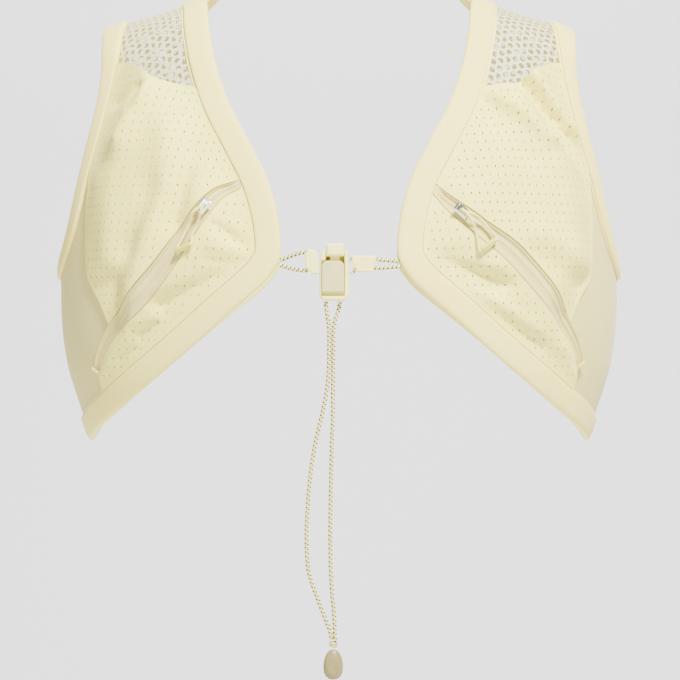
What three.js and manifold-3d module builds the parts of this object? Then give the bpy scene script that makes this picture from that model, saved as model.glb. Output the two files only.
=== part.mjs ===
// Running hydration vest, worn form. Millimetres, +X to the viewer's right, the front faces -Y, +Z up.
// The origin is the mount at the shoulders: the middle of the shoulder crest, at its neck side.
import * as THREE from 'three';
import { mergeVertices, mergeGeometries } from 'three/addons/utils/BufferGeometryUtils.js';
import Module from 'manifold-3d';

const wasm = await Module();
wasm.setup();

// Driving dimensions of the worn form
const CHEST_WIDTH = 361;
const FRONT_DEPTH = 115;
const BACK_DEPTH = 108;
// The back edges stand wider apart than the front ones, by this share at full depth
const BACK_SPREAD = 0.1;
const VEST_DROP = 280;

// Cloth
const CLOTH = 1.0;
const LAYER_GAP = 0.7;
const SEAM_GAP = 0.5;
const BINDING_THICK = 1.9;
const TUCK = 7;
const NECK_BAND = 15.5;
const HEM_BAND = 15.5;
const ARM_BAND = 15;
// The arm band is this wide in front of the arm, below the shoulder
const ARM_BAND_LOW = 9;
const POCKET_BULGE = 9;
const POCKET_ROUNDING = 30;
const FOLD_HEIGHT = 5;
const GARAGE_WIDTH = 13;
const GARAGE_END_WIDTH = 3.5;
const GARAGE_RECESS = 1.4;

// Coarse net above the pocket mouth
const NET_PITCH = 8.8;
const NET_GAP = 7.2;
const NET_MARGIN = 2.2;

// Zip hardware
const SLIDER_LENGTH = 10;
const SLIDER_WIDTH = 6.4;
const SLIDER_THICK = 2.6;
const PULL_CORD = 1.8;
const PULL_LENGTH = 24;
const PULL_STEPS = 12;
const PULL_TAB_LENGTH = 12;
const PULL_TAB_THICK = 3.2;
const STOP_LENGTH = 7.5;
const STOP_WIDTH = 2.2;
const STOP_THICK = 1.4;

// Elastic cord closure
const CORD = 2.4;
const CORD_SIDES = 8;
const CORD_GAP = 0.35;
const TAIL_STEPS = 22;
const LOOP_STEPS = 12;
const SIDE_STEPS = 4;
const SLOT_HEIGHT = 2.4;
const LOCK_DEPTH = 10;
const LOCK_WALL = 2;
const PLATE_THICK = 2.2;
const PLATE_PROUD = 1;
const PLATE_TOP = 168.2;
const PLATE_HEIGHT = 19;
const PLATE_FOOT = PLATE_TOP + PLATE_HEIGHT;
const PLATE_LEFT = -10.4;
const PLATE_WIDTH = 13.6;
const PLATE_RIGHT = PLATE_LEFT + PLATE_WIDTH;
const BUTTON_TOP = 157.6;
const BUTTON_HEIGHT = 7.8;
const BUTTON_FOOT = BUTTON_TOP + BUTTON_HEIGHT;
const BUTTON_LEFT = -7.9;
const BUTTON_WIDTH = 10.9;
const BUTTON_RIGHT = BUTTON_LEFT + BUTTON_WIDTH;
const BUTTON_DEPTH = 8.2;
const STEM_WIDTH = 6;
const CLIP_DEPTH = 5.6;
const HOOK_DEPTH = 6.4;
const END_OUT = -3.5;
const END_TOP = 404.6;
const END_WIDTH = 13.8;
const END_HEIGHT = 18.6;
const END_DEPTH = 8.4;
const DENT_DEPTH = 1.4;
const KNOT_WIDTH = 5.6;
const KNOT_HEIGHT = 4.6;

const HALF_WIDTH = CHEST_WIDTH / 2;
// The closure stands forward of the sternum edges that its cord is sewn into
const EDGE_FORWARD = 0.978 * FRONT_DEPTH;
const CLOSURE_STAND = 4.5;
const EDGE_OUT = 0.2 * HALF_WIDTH;
const CLOSURE_FORWARD = EDGE_FORWARD + CLOSURE_STAND;

// The body that the vest lies on: half width and depth at each drop below the shoulder crest
const BODY = [
  { drop: -0.107, wide: 0.299, deep: 0.400 },
  { drop: -0.071, wide: 0.316, deep: 0.417 },
  { drop: -0.036, wide: 0.366, deep: 0.452 },
  { drop: 0.000, wide: 0.471, deep: 0.496 },
  { drop: 0.014, wide: 0.565, deep: 0.513 },
  { drop: 0.032, wide: 0.648, deep: 0.539 },
  { drop: 0.050, wide: 0.742, deep: 0.561 },
  { drop: 0.071, wide: 0.825, deep: 0.587 },
  { drop: 0.100, wide: 0.898, deep: 0.617 },
  { drop: 0.143, wide: 0.947, deep: 0.670 },
  { drop: 0.214, wide: 0.962, deep: 0.748 },
  { drop: 0.357, wide: 0.975, deep: 0.887 },
  { drop: 0.500, wide: 0.980, deep: 0.965 },
  { drop: 0.679, wide: 0.985, deep: 1.000 },
  { drop: 0.732, wide: 0.982, deep: 0.996 },
  { drop: 0.818, wide: 0.965, deep: 0.983 },
  { drop: 0.911, wide: 0.923, deep: 0.948 },
  { drop: 1.000, wide: 0.870, deep: 0.904 },
  { drop: 1.080, wide: 0.800, deep: 0.840 },
];

// Edge of one front half from the crest to the sternum corner and on along the hem to the side.
// Each row gives two of: out from the middle, forward of the crest, down from the crest.
const NECK_EDGE = [
  { out: 0.465, forward: 0 },
  { out: 0.463, forward: 0.20 },
  { out: 0.456, forward: 0.38 },
  { out: 0.448, down: 0.081 },
  { out: 0.427, down: 0.151 },
  { out: 0.380, down: 0.243 },
  { out: 0.309, down: 0.333 },
  { out: 0.241, down: 0.423 },
  { out: 0.205, down: 0.511 },
  { out: 0.197, down: 0.580 },
  { out: 0.206, down: 0.606 },
];
const HEM_EDGE = [
  { out: 0.206, down: 0.606 },
  { out: 0.247, down: 0.643 },
  { out: 0.397, down: 0.729 },
  { out: 0.550, down: 0.816 },
  { out: 0.716, down: 0.906 },
  { out: 0.812, down: 0.958 },
  { forward: 0, down: 1.000 },
];
// Armhole from the crest down to its lowest point under the arm
const ARM_EDGE = [
  { forward: 0.000, down: 0.071 },
  { forward: 0.217, down: 0.093 },
  { forward: 0.330, down: 0.143 },
  { forward: 0.378, down: 0.214 },
  { forward: 0.391, down: 0.304 },
  { forward: 0.357, down: 0.404 },
  { forward: 0.270, down: 0.518 },
  { forward: 0.157, down: 0.577 },
  { forward: 0.000, down: 0.602 },
];
// Seam between the pocket and the side, from the arm band down to the zip
const SIDE_SEAM = [
  { out: 0.855, down: 0.393 },
  { out: 0.872, down: 0.480 },
  { out: 0.873, down: 0.571 },
  { out: 0.865, down: 0.634 },
  { out: 0.824, down: 0.684 },
];
// Seam of the net and the side cloth: under the pocket at the front, in the open at the back
const NET_SEAM = {
  front: [
    { out: 0.815, down: 0.360 },
    { out: 0.800, down: 0.550 },
    { out: 0.768, down: 0.700 },
    { out: 0.775, down: 0.800 },
    { out: 0.790, down: 0.910 },
  ],
  back: [
    { out: 0.870, down: 0.393 },
    { out: 0.870, down: 0.650 },
    { out: 0.830, down: 0.915 },
  ],
};
const MOUTH = [
  { out: 0.482, down: 0.213 },
  { out: 0.554, down: 0.209 },
  { out: 0.618, down: 0.201 },
  { out: 0.657, down: 0.180 },
  { out: 0.704, down: 0.165 },
  { out: 0.760, down: 0.152 },
];
// Upper lip of each zip, from the neck band to its lower end
const ZIP_LIP = {
  right: [
    { out: 0.320, down: 0.426 },
    { out: 0.393, down: 0.469 },
    { out: 0.478, down: 0.512 },
    { out: 0.587, down: 0.563 },
    { out: 0.709, down: 0.653 },
    { out: 0.790, down: 0.730 },
    { out: 0.824, down: 0.780 },
    { out: 0.838, down: 0.830 },
  ],
  left: [
    { out: 0.328, down: 0.420 },
    { out: 0.408, down: 0.441 },
    { out: 0.463, down: 0.476 },
    { out: 0.521, down: 0.522 },
    { out: 0.611, down: 0.603 },
    { out: 0.702, down: 0.675 },
    { out: 0.790, down: 0.740 },
    { out: 0.829, down: 0.800 },
    { out: 0.840, down: 0.845 },
  ],
};
// Where the pocket's side seam meets the lip, and where the zip lies across its garage
const ZIP_MEETS_SEAM = { out: 0.79, down: 0.733 };
const ZIP_ACROSS = 0.47;
// From a zip's lower end to the hem below it, in millimetres
const ZIP_FOOT_SHIFT = new THREE.Vector3(-3, 0, -16);
// How far along its lip each slider stands, and how its pull hangs: places beside the slider as shares of
// PULL_LENGTH, out from the middle and down
const ZIP_PARTS = {
  right: {
    slider: 0.13, near: [0.12, 0.16], first: [[0.30, 0.50], [0.37, 0.85]], tab: [[0.42, 1.02], [0.80, 0.72]],
    second: [[0.66, 0.50], [0.45, 0.27]], near2: [0.24, 0.12],
  },
  left: {
    slider: 0.16, near: [0.02, 0.18], first: [[0.14, 0.45], [0.26, 0.75]], tab: [[0.30, 0.98], [0.62, 1.12]],
    second: [[0.50, 0.80], [0.34, 0.48]], near2: [0.20, 0.18],
  },
};
// Folds of the outer cloth: a run from one place to another, as broad and as high as the shares say
const FOLDS = [
  { side: 'right', fromOut: 0.610, fromDown: 0.200, toOut: 0.755, toDown: 0.335, wide: 0.030, high: -1.0 },
  { side: 'right', fromOut: 0.755, fromDown: 0.335, toOut: 0.890, toDown: 0.430, wide: 0.034, high: -0.9 },
  { side: 'right', fromOut: 0.530, fromDown: 0.230, toOut: 0.700, toDown: 0.370, wide: 0.040, high: 0.6 },
  { side: 'right', fromOut: 0.500, fromDown: 0.260, toOut: 0.640, toDown: 0.370, wide: 0.045, high: -0.6 },
  { side: 'right', fromOut: 0.690, fromDown: 0.550, toOut: 0.890, toDown: 0.630, wide: 0.060, high: 0.5 },
  { side: 'right', fromOut: 0.880, fromDown: 0.640, toOut: 0.910, toDown: 0.780, wide: 0.050, high: -0.5 },
  { side: 'right', fromOut: 0.330, fromDown: 0.610, toOut: 0.520, toDown: 0.650, wide: 0.036, high: -1.1 },
  { side: 'right', fromOut: 0.500, fromDown: 0.720, toOut: 0.650, toDown: 0.780, wide: 0.024, high: -0.6 },
  { side: 'right', fromOut: 0.440, fromDown: 0.670, toOut: 0.640, toDown: 0.740, wide: 0.036, high: 0.4 },
  { side: 'left', fromOut: 0.620, fromDown: 0.440, toOut: 0.775, toDown: 0.660, wide: 0.050, high: -0.9 },
  { side: 'left', fromOut: 0.500, fromDown: 0.370, toOut: 0.545, toDown: 0.500, wide: 0.040, high: -0.6 },
  { side: 'left', fromOut: 0.560, fromDown: 0.330, toOut: 0.680, toDown: 0.600, wide: 0.050, high: 0.6 },
  { side: 'left', fromOut: 0.640, fromDown: 0.225, toOut: 0.730, toDown: 0.330, wide: 0.040, high: 0.8 },
  { side: 'left', fromOut: 0.665, fromDown: 0.225, toOut: 0.690, toDown: 0.265, wide: 0.020, high: -0.7 },
  { side: 'left', fromOut: 0.330, fromDown: 0.560, toOut: 0.400, toDown: 0.530, wide: 0.018, high: -0.6 },
  { side: 'left', fromOut: 0.400, fromDown: 0.645, toOut: 0.590, toDown: 0.690, wide: 0.026, high: -0.9 },
  { side: 'left', fromOut: 0.480, fromDown: 0.705, toOut: 0.640, toDown: 0.755, wide: 0.026, high: -0.9 },
  { side: 'left', fromOut: 0.640, fromDown: 0.800, toOut: 0.720, toDown: 0.830, wide: 0.020, high: -0.6 },
];
// Band behind the neck: its lower and upper edges from one shoulder to the middle
const NAPE = {
  lower: [
    { out: 0.395, down: -0.020 },
    { out: 0.220, down: -0.046 },
    { out: 0.000, down: -0.050 },
  ],
  upper: [
    { out: 0.360, down: -0.046 },
    { out: 0.220, down: -0.088 },
    { out: 0.000, down: -0.102 },
  ],
  forward: -0.035,
  back: -0.300,
};

// Elastic cord: hand-chosen points, out from the middle, down from the crest, forward of the sternum edges
const SIDE_CORDS = {
  sternum_cord_left: [
    [0.2 - EDGE_OUT, 167.6, 0], [-30, 165.4, 1.5], [-25, 163.6, 3.5], [-20.6, 163.0, CLOSURE_STAND],
    [-16.9, 164.6, CLOSURE_STAND], [-15.4, 168.6, CLOSURE_STAND], [-16.9, 172.6, CLOSURE_STAND],
    [-20.6, 174.1, CLOSURE_STAND], [-25, 173.6, 3.5], [-30, 172.5, 1.5], [-EDGE_OUT - 0.6, 170.6, 0],
  ],
  sternum_cord_upper: [
    [6.3, 167.4, CLOSURE_STAND], [14, 167.2, CLOSURE_STAND], [22.3, 167.2, 4.1], [29, 167.7, 2.1],
    [EDGE_OUT + 0.1, 168.2, 0],
  ],
  sternum_cord_lower: [
    [7.1, 176.2, CLOSURE_STAND], [9.5, 173.9, CLOSURE_STAND], [13, 172.5, CLOSURE_STAND],
    [20, 172.4, 4.3], [27, 172.3, 2.5], [EDGE_OUT + 1.3, 171.4, 0],
  ],
};
const TAIL_APART = 1.0;
const TAIL_ROUTES = {
  tail_cord_left: [
    [-8.05, 192.9], [-7.6, 198], [-6.6, 204.1], [-6.0, 210.2], [-6.0, 219.4], [-6.1, 228.5], [-6.5, 237.7],
    [-7.4, 246.8], [-9.5, 257.8], [-11.9, 268.2], [-14.0, 277.3], [-16.2, 289.5], [-17.7, 301.7],
    [-18.8, 313.9], [-19.5, 326.1], [-19.8, 335.3], [-19.6, 344.4], [-18.7, 356.0], [-16.7, 363.6],
    [-13.8, 371.6], [-9.8, 382.3], [-6.6, 390.2], [-4.9, 395.7], [-4.6, 399.0],
  ],
  tail_cord_right: [
    [0.6, 192.9], [-0.3, 198], [-2.3, 204.1], [-3.3, 210.2], [-3.4, 219.4], [-3.5, 228.5], [-3.6, 237.7],
    [-3.7, 246.8], [-3.7, 257.8], [-3.9, 268.2], [-4.3, 277.3], [-4.7, 295.6], [-5.1, 313.9], [-5.3, 332.2],
    [-5.2, 347.5], [-5.0, 356.6], [-4.3, 369.4], [-3.1, 382.3], [-2.7, 390.2], [-2.5, 395.7], [-2.4, 399.0],
  ],
};
// Outlines of the moulded pieces as seen from the front: out from the middle, down from the crest
const HOOK_OUTLINE = [
  [-18.2, 161.0], [-14.2, 162.2], [-12.6, 166.4], [-12.5, 175.6], [-16.2, 176.6], [-20.2, 172.4],
  [-20.6, 164.0],
];
const CLIP_OUTLINE = [
  [7.8, 164.9], [22.4, 164.9], [22.4, 169.6], [21.2, 170.2], [21.2, 174.9], [10.8, 174.9], [9.6, 171.0],
  [7.8, 169.6],
];
const HOUSING_OUTLINE = [
  [-10.0, 161.8], [4.4, 161.8], [5.3, 163.4], [5.9, 176.0], [5.9, 189.4], [3.6, 192.4], [-9.6, 192.4],
  [-11.9, 189.8], [-11.9, 176.0], [-11.6, 166.0],
];

const CREAM = 0xf3edd0;
const BAND_CREAM = 0xf2ead4;
const MOULDED = 0xf6f0cf;
const PLATE_GREY = 0xdcd6b6;
const OLIVE_CORD = 0xd8d0a0;
const SILVER = 0xc8c8c8;

const materials = {
  net: new THREE.MeshStandardMaterial({ color: CREAM, roughness: 0.9, metalness: 0 }),
  cloth: new THREE.MeshStandardMaterial({ color: CREAM, roughness: 0.85, metalness: 0 }),
  binding: new THREE.MeshStandardMaterial({ color: BAND_CREAM, roughness: 0.8, metalness: 0 }),
  moulded: new THREE.MeshStandardMaterial({ color: MOULDED, roughness: 0.45, metalness: 0 }),
  plate: new THREE.MeshStandardMaterial({ color: PLATE_GREY, roughness: 0.35, metalness: 0 }),
  cord: new THREE.MeshStandardMaterial({ color: OLIVE_CORD, roughness: 0.85, metalness: 0 }),
  metal: new THREE.MeshStandardMaterial({ color: SILVER, roughness: 0.25, metalness: 1 }),
};

const vest = new THREE.Group();

function addPiece(name, geometry, material) {
  const mesh = new THREE.Mesh(geometry, material);
  mesh.name = name;
  vest.add(mesh);
  return mesh;
}

// Smooth interpolation

function monotoneColumn(rows, key, value) {
  const slopes = [];
  for (let i = 0; i < rows.length - 1; i += 1) {
    slopes.push((rows[i + 1][value] - rows[i][value]) / (rows[i + 1][key] - rows[i][key]));
  }
  const tangents = rows.map((row, i) => {
    if (i === 0) return slopes[0];
    if (i === rows.length - 1) return slopes[i - 1];
    const product = slopes[i - 1] * slopes[i];
    return product <= 0 ? 0 : (2 * product) / (slopes[i - 1] + slopes[i]);
  });
  return (at) => {
    const last = rows.length - 2;
    let i = 0;
    while (i < last && at > rows[i + 1][key]) i += 1;
    const span = rows[i + 1][key] - rows[i][key];
    const t = Math.min(1, Math.max(0, (at - rows[i][key]) / span));
    const h01 = t * t * (3 - 2 * t);
    const h10 = t * (1 - t) * (1 - t);
    const h11 = t * t * (t - 1);
    return rows[i][value] * (1 - h01) + rows[i + 1][value] * h01
      + span * (h10 * tangents[i] + h11 * tangents[i + 1]);
  };
}

const smoothstep = (t) => {
  const c = Math.min(1, Math.max(0, t));
  return c * c * (3 - 2 * c);
};

// The body surface

const wideAt = monotoneColumn(BODY, 'drop', 'wide');
const deepAt = monotoneColumn(BODY, 'drop', 'deep');

function bodyError(x, y, z) {
  const drop = -z / VEST_DROP;
  const depth = y < 0 ? FRONT_DEPTH : BACK_DEPTH;
  return Math.hypot(x / (wideAt(drop) * HALF_WIDTH), y / (deepAt(drop) * depth)) - 1;
}

function bodyGradient(p) {
  const step = 0.05;
  return new THREE.Vector3(
    bodyError(p.x + step, p.y, p.z) - bodyError(p.x - step, p.y, p.z),
    bodyError(p.x, p.y + step, p.z) - bodyError(p.x, p.y - step, p.z),
    bodyError(p.x, p.y, p.z + step) - bodyError(p.x, p.y, p.z - step),
  ).divideScalar(2 * step);
}

function toBody(point) {
  const p = point.clone();
  for (let i = 0; i < 8; i += 1) {
    const gradient = bodyGradient(p);
    p.addScaledVector(gradient, -bodyError(p.x, p.y, p.z) / gradient.lengthSq());
  }
  return p;
}

const bodyNormal = (p) => bodyGradient(p).normalize();

// The place on the body that a table row names by two of out, forward and down
function placeOnBody(row) {
  if (row.forward === undefined) {
    const z = -row.down * VEST_DROP;
    const x = row.out * HALF_WIDTH;
    const share = Math.min(1, x / (wideAt(row.down) * HALF_WIDTH));
    return new THREE.Vector3(x, -deepAt(row.down) * FRONT_DEPTH * Math.sqrt(1 - share * share), z);
  }
  const y = -row.forward * FRONT_DEPTH;
  if (row.out === undefined) {
    const z = -row.down * VEST_DROP;
    const share = Math.min(1, Math.abs(row.forward) / deepAt(row.down));
    return new THREE.Vector3(wideAt(row.down) * HALF_WIDTH * Math.sqrt(1 - share * share), y, z);
  }
  const x = row.out * HALF_WIDTH;
  let low = -0.6 * VEST_DROP;
  let high = 0.1 * VEST_DROP;
  for (let i = 0; i < 40; i += 1) {
    const middle = (low + high) / 2;
    if (bodyError(x, y, middle) < 0) low = middle;
    else high = middle;
  }
  return new THREE.Vector3(x, y, (low + high) / 2);
}

// Curves on the body are dense lists of points

const CURVE_STEPS = 320;
const ARM_NARROWS_FROM = 0.03;
const ARM_NARROWS_OVER = 0.17;
const RIM_STEPS = 50;
const MOUTH_END_STEPS = 20;
const STOP_STEPS = CURVE_STEPS - 6;
const LOOK_BACK_STEPS = 14;

function resample(points, count) {
  const along = [0];
  for (let i = 1; i < points.length; i += 1) along.push(along[i - 1] + points[i].distanceTo(points[i - 1]));
  const total = along[along.length - 1];
  const result = [];
  let i = 0;
  for (let k = 0; k <= count; k += 1) {
    const target = (total * k) / count;
    while (i < points.length - 2 && along[i + 1] < target) i += 1;
    const span = along[i + 1] - along[i];
    const t = span > 0 ? (target - along[i]) / span : 0;
    result.push(points[i].clone().lerp(points[i + 1], Math.min(1, Math.max(0, t))));
  }
  return result;
}

function throughPoints(points, closed = false) {
  const curve = new THREE.CatmullRomCurve3(points, closed, 'centripetal');
  return resample(curve.getPoints(CURVE_STEPS).map(toBody), CURVE_STEPS);
}

// The place on the back that answers to one on the front
function flipDepth(p) {
  const spread = 1 - (BACK_SPREAD * p.y) / FRONT_DEPTH;
  return toBody(new THREE.Vector3(p.x * spread, (-p.y * BACK_DEPTH) / FRONT_DEPTH, p.z));
}

// Moves a curve over the body, to the left of its own direction as seen from outside
function offsetCurve(points, distance) {
  return points.map((p, i) => {
    const before = points[Math.max(0, i - 1)];
    const after = points[Math.min(points.length - 1, i + 1)];
    const along = after.clone().sub(before).normalize();
    const inward = bodyNormal(p).cross(along).normalize();
    const shift = typeof distance === 'number' ? distance : distance(i / (points.length - 1));
    let moved = p.clone();
    for (let k = 1; k <= 3; k += 1) moved = toBody(moved.addScaledVector(inward, shift / 3));
    return moved;
  });
}

function nearestIndex(points, target) {
  let best = 0;
  points.forEach((p, i) => {
    if (p.distanceTo(target) < points[best].distanceTo(target)) best = i;
  });
  return best;
}

function stretch(points, from, to) {
  const a = nearestIndex(points, from);
  const b = nearestIndex(points, to);
  return a <= b ? points.slice(a, b + 1) : points.slice(b, a + 1).reverse();
}

const reversed = (points) => points.slice().reverse();

// Closed solids from grids of points

function solidFromGrids(inner, outer, mirror, closedLoop = false) {
  const rows = inner.length;
  const columns = inner[0].length;
  const positions = [];
  const triangles = [];
  const place = (p) => positions.push(mirror * p.x, p.y, p.z);
  inner.forEach((row) => row.forEach(place));
  outer.forEach((row) => row.forEach(place));
  const at = (layer, i, j) => layer * rows * columns + (i % rows) * columns + j;
  const quad = (a, b, c, d) => triangles.push(a, b, c, a, c, d);
  const rowSpans = closedLoop ? rows : rows - 1;
  for (let i = 0; i < rowSpans; i += 1) {
    for (let j = 0; j < columns - 1; j += 1) {
      quad(at(1, i, j), at(1, i, j + 1), at(1, i + 1, j + 1), at(1, i + 1, j));
      quad(at(0, i, j), at(0, i + 1, j), at(0, i + 1, j + 1), at(0, i, j + 1));
    }
    quad(at(0, i, 0), at(1, i, 0), at(1, i + 1, 0), at(0, i + 1, 0));
    quad(at(0, i + 1, columns - 1), at(1, i + 1, columns - 1), at(1, i, columns - 1), at(0, i, columns - 1));
  }
  if (!closedLoop) {
    for (let j = 0; j < columns - 1; j += 1) {
      quad(at(0, 0, j + 1), at(1, 0, j + 1), at(1, 0, j), at(0, 0, j));
      quad(at(0, rows - 1, j), at(1, rows - 1, j), at(1, rows - 1, j + 1), at(0, rows - 1, j + 1));
    }
  }
  const geometry = new THREE.BufferGeometry();
  geometry.setAttribute('position', new THREE.Float32BufferAttribute(positions, 3));
  geometry.setIndex(triangles);
  return facingOut(geometry);
}

function signedVolume(geometry) {
  const position = geometry.getAttribute('position');
  const index = geometry.getIndex();
  const corners = [new THREE.Vector3(), new THREE.Vector3(), new THREE.Vector3()];
  let volume = 0;
  for (let i = 0; i < index.count; i += 3) {
    corners.forEach((corner, k) => corner.fromBufferAttribute(position, index.getX(i + k)));
    volume += corners[0].dot(corners[1].clone().cross(corners[2])) / 6;
  }
  return volume;
}

function facingOut(geometry) {
  if (signedVolume(geometry) < 0) {
    const index = geometry.getIndex();
    for (let i = 0; i < index.count; i += 3) {
      const second = index.getX(i + 1);
      index.setX(i + 1, index.getX(i + 2));
      index.setX(i + 2, second);
    }
  }
  geometry.computeVertexNormals();
  return geometry;
}

// A cloth layer over a grid of body points: lift gives the height of its inner face above the body
function layer(grid, lift, thick, mirror, closedLoop = false) {
  const inner = [];
  const outer = [];
  grid.forEach((row) => {
    const normals = row.map(bodyNormal);
    const lifts = row.map((p) => (typeof lift === 'number' ? lift : lift(p)));
    inner.push(row.map((p, j) => p.clone().addScaledVector(normals[j], lifts[j])));
    outer.push(row.map((p, j) => p.clone().addScaledVector(normals[j], lifts[j] + thick)));
  });
  return solidFromGrids(inner, outer, mirror, closedLoop);
}

// A patch between four curves that meet at their ends
function patchGrid(top, bottom, left, right, rows, columns) {
  const upper = resample(top, columns);
  const lower = resample(bottom, columns);
  const near = resample(left, rows);
  const far = resample(right, rows);
  const grid = [];
  for (let i = 0; i <= rows; i += 1) {
    const v = i / rows;
    const row = [];
    for (let j = 0; j <= columns; j += 1) {
      const u = j / columns;
      const p = new THREE.Vector3();
      p.addScaledVector(upper[j], 1 - v).addScaledVector(lower[j], v);
      p.addScaledVector(near[i], 1 - u).addScaledVector(far[i], u);
      p.addScaledVector(upper[0], -(1 - u) * (1 - v)).addScaledVector(upper[columns], -u * (1 - v));
      p.addScaledVector(lower[0], -(1 - u) * v).addScaledVector(lower[columns], -u * v);
      row.push(toBody(p));
    }
    grid.push(row);
  }
  return grid;
}

// Booleans

function bare(geometry) {
  const plain = geometry.clone();
  Object.keys(plain.attributes).forEach((name) => {
    if (name !== 'position') plain.deleteAttribute(name);
  });
  return mergeVertices(plain, 1e-3);
}

function toManifold(geometry) {
  const plain = bare(geometry);
  return new wasm.Manifold(new wasm.Mesh({
    numProp: 3,
    vertProperties: new Float32Array(plain.getAttribute('position').array),
    triVerts: new Uint32Array(plain.getIndex().array),
  }));
}

function fromManifold(solid) {
  const mesh = solid.getMesh();
  const geometry = new THREE.BufferGeometry();
  const positions = [];
  for (let i = 0; i < mesh.numVert; i += 1) {
    for (let k = 0; k < 3; k += 1) positions.push(mesh.vertProperties[i * mesh.numProp + k]);
  }
  geometry.setAttribute('position', new THREE.Float32BufferAttribute(positions, 3));
  geometry.setIndex(Array.from(mesh.triVerts));
  geometry.computeVertexNormals();
  return geometry;
}

// Outlines shared by both sides: each runs over the shoulder or round the side to the back

const frontAndBack = (front) => [...front, ...reversed(front).slice(1).map(flipDepth)];
const neckEdge = throughPoints(reversed(frontAndBack(reversed(NECK_EDGE.map(placeOnBody)))));
const hemEdge = throughPoints(frontAndBack(HEM_EDGE.map(placeOnBody)));
const armPoints = frontAndBack(ARM_EDGE.map(placeOnBody));
const armEdge = throughPoints(armPoints.slice(0, -1), true);

// The inner side of the neck and hem bands, cut at each sternum corner along the line that halves it
function besideCorner(edge, neighbour, distance) {
  const last = edge.length - 1;
  const corner = edge[last];
  const normal = bodyNormal(corner);
  const along = corner.clone().sub(edge[last - 4]).normalize();
  const onward = neighbour[4].clone().sub(corner).normalize();
  const first = normal.clone().cross(along).normalize();
  const halving = normal.clone().cross(along.clone().add(onward)).normalize();
  const reach = 1 / halving.dot(first);
  const taken = Math.abs(distance) * Math.sqrt(reach * reach - 1);
  const inner = toBody(corner.clone().addScaledVector(halving, distance * reach));
  const moved = offsetCurve(edge, distance).filter((p, i) => edge[i].distanceTo(corner) > taken + 1);
  return [...moved, inner];
}

// Both ends of an open edge meet the other edge at a corner
function insideBand(edge, other, distance) {
  const middle = Math.floor(edge.length / 2);
  const ending = besideCorner(edge.slice(middle), other, distance);
  const starting = besideCorner(reversed(edge.slice(0, middle + 1)), reversed(other), -distance);
  return resample([...reversed(starting), ...ending.slice(1)], CURVE_STEPS);
}

const neckSeam = insideBand(neckEdge, hemEdge, NECK_BAND);
const hemSeam = insideBand(hemEdge, neckEdge, HEM_BAND);
const neckInner = insideBand(neckEdge, hemEdge, NECK_BAND + SEAM_GAP);
const hemInner = insideBand(hemEdge, neckEdge, HEM_BAND + SEAM_GAP);
const neckTuck = insideBand(neckEdge, hemEdge, NECK_BAND - TUCK);
const hemTuck = insideBand(hemEdge, neckEdge, HEM_BAND - TUCK);

function offsetLoop(points, distance) {
  const count = points.length - 1;
  const open = [points[count - 1], ...points, points[1]];
  return offsetCurve(open, distance).slice(1, -1);
}

// Width of the arm band, from the crest down the front and up the back again
function armBand(t) {
  const below = smoothstep((Math.min(t, 1 - t) - ARM_NARROWS_FROM) / ARM_NARROWS_OVER);
  return ARM_BAND + (ARM_BAND_LOW - ARM_BAND) * below;
}
const armSeam = offsetLoop(armEdge, (t) => -armBand(t));
const armInner = offsetLoop(armEdge, (t) => -armBand(t) - SEAM_GAP);
const armTuck = offsetLoop(armEdge, (t) => TUCK - armBand(t));

// Heights above the body: the net lies lowest, the bindings and the outer cloth lie over it
const NET_LOW = -CLOTH;
const POCKET_LOW = NET_LOW + CLOTH + LAYER_GAP;

// Bindings: bands of cloth folded over the edges

const NECK_STEPS = 38;
const HEM_STEPS = 32;
const ARM_STEPS = 27;

function trimmed(points, amount) {
  const even = resample(points, CURVE_STEPS);
  const total = even.slice(1).reduce((sum, p, i) => sum + p.distanceTo(even[i]), 0);
  const cut = Math.max(1, Math.round((amount / total) * CURVE_STEPS));
  const blend = (amount / total) * CURVE_STEPS / cut;
  const first = even[0].clone().lerp(even[cut], blend);
  const last = even[CURVE_STEPS].clone().lerp(even[CURVE_STEPS - cut], blend);
  return [first, ...even.slice(cut + 1, CURVE_STEPS - cut), last];
}

function bandGrid(edge, seam, steps, middle = false) {
  const outside = resample(edge, steps);
  const inside = resample(seam, steps);
  const between = (p, i) => (middle ? [toBody(p.clone().lerp(inside[i], 0.5))] : []);
  return outside.map((p, i) => [p, ...between(p, i), inside[i]]);
}

function addBindings(side, mirror) {
  const neck = bandGrid(trimmed(neckEdge, SEAM_GAP / 2), trimmed(neckSeam, SEAM_GAP / 2), NECK_STEPS);
  const hem = bandGrid(trimmed(hemEdge, SEAM_GAP / 2), trimmed(hemSeam, SEAM_GAP / 2), HEM_STEPS);
  const arm = bandGrid(armEdge, armSeam, ARM_STEPS, true).slice(0, -1);
  addPiece(`neck_binding_${side}`, layer(neck, POCKET_LOW, BINDING_THICK, mirror), materials.binding);
  addPiece(`hem_binding_${side}`, layer(hem, POCKET_LOW, BINDING_THICK, mirror), materials.binding);
  addPiece(`arm_binding_${side}`, layer(arm, POCKET_LOW, BINDING_THICK, mirror, true), materials.binding);
}

// Net of the front and back halves

const neckAtCrest = placeOnBody({ out: 0.56, forward: 0 });

// Half of a curve on the front of the body, or on its back
const frontOf = (points) => points.filter((p) => p.y < -SEAM_GAP / 2);
const backOf = (points) => points.filter((p) => p.y > SEAM_GAP / 2);

function straightOnBody(from, to, count = 24) {
  const points = [];
  for (let i = 0; i <= count; i += 1) points.push(toBody(from.clone().lerp(to, i / count)));
  return points;
}

function orderedFrom(points, start) {
  const startsNear = points[0].distanceTo(start) <= points[points.length - 1].distanceTo(start);
  return startsNear ? points : reversed(points);
}

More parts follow.
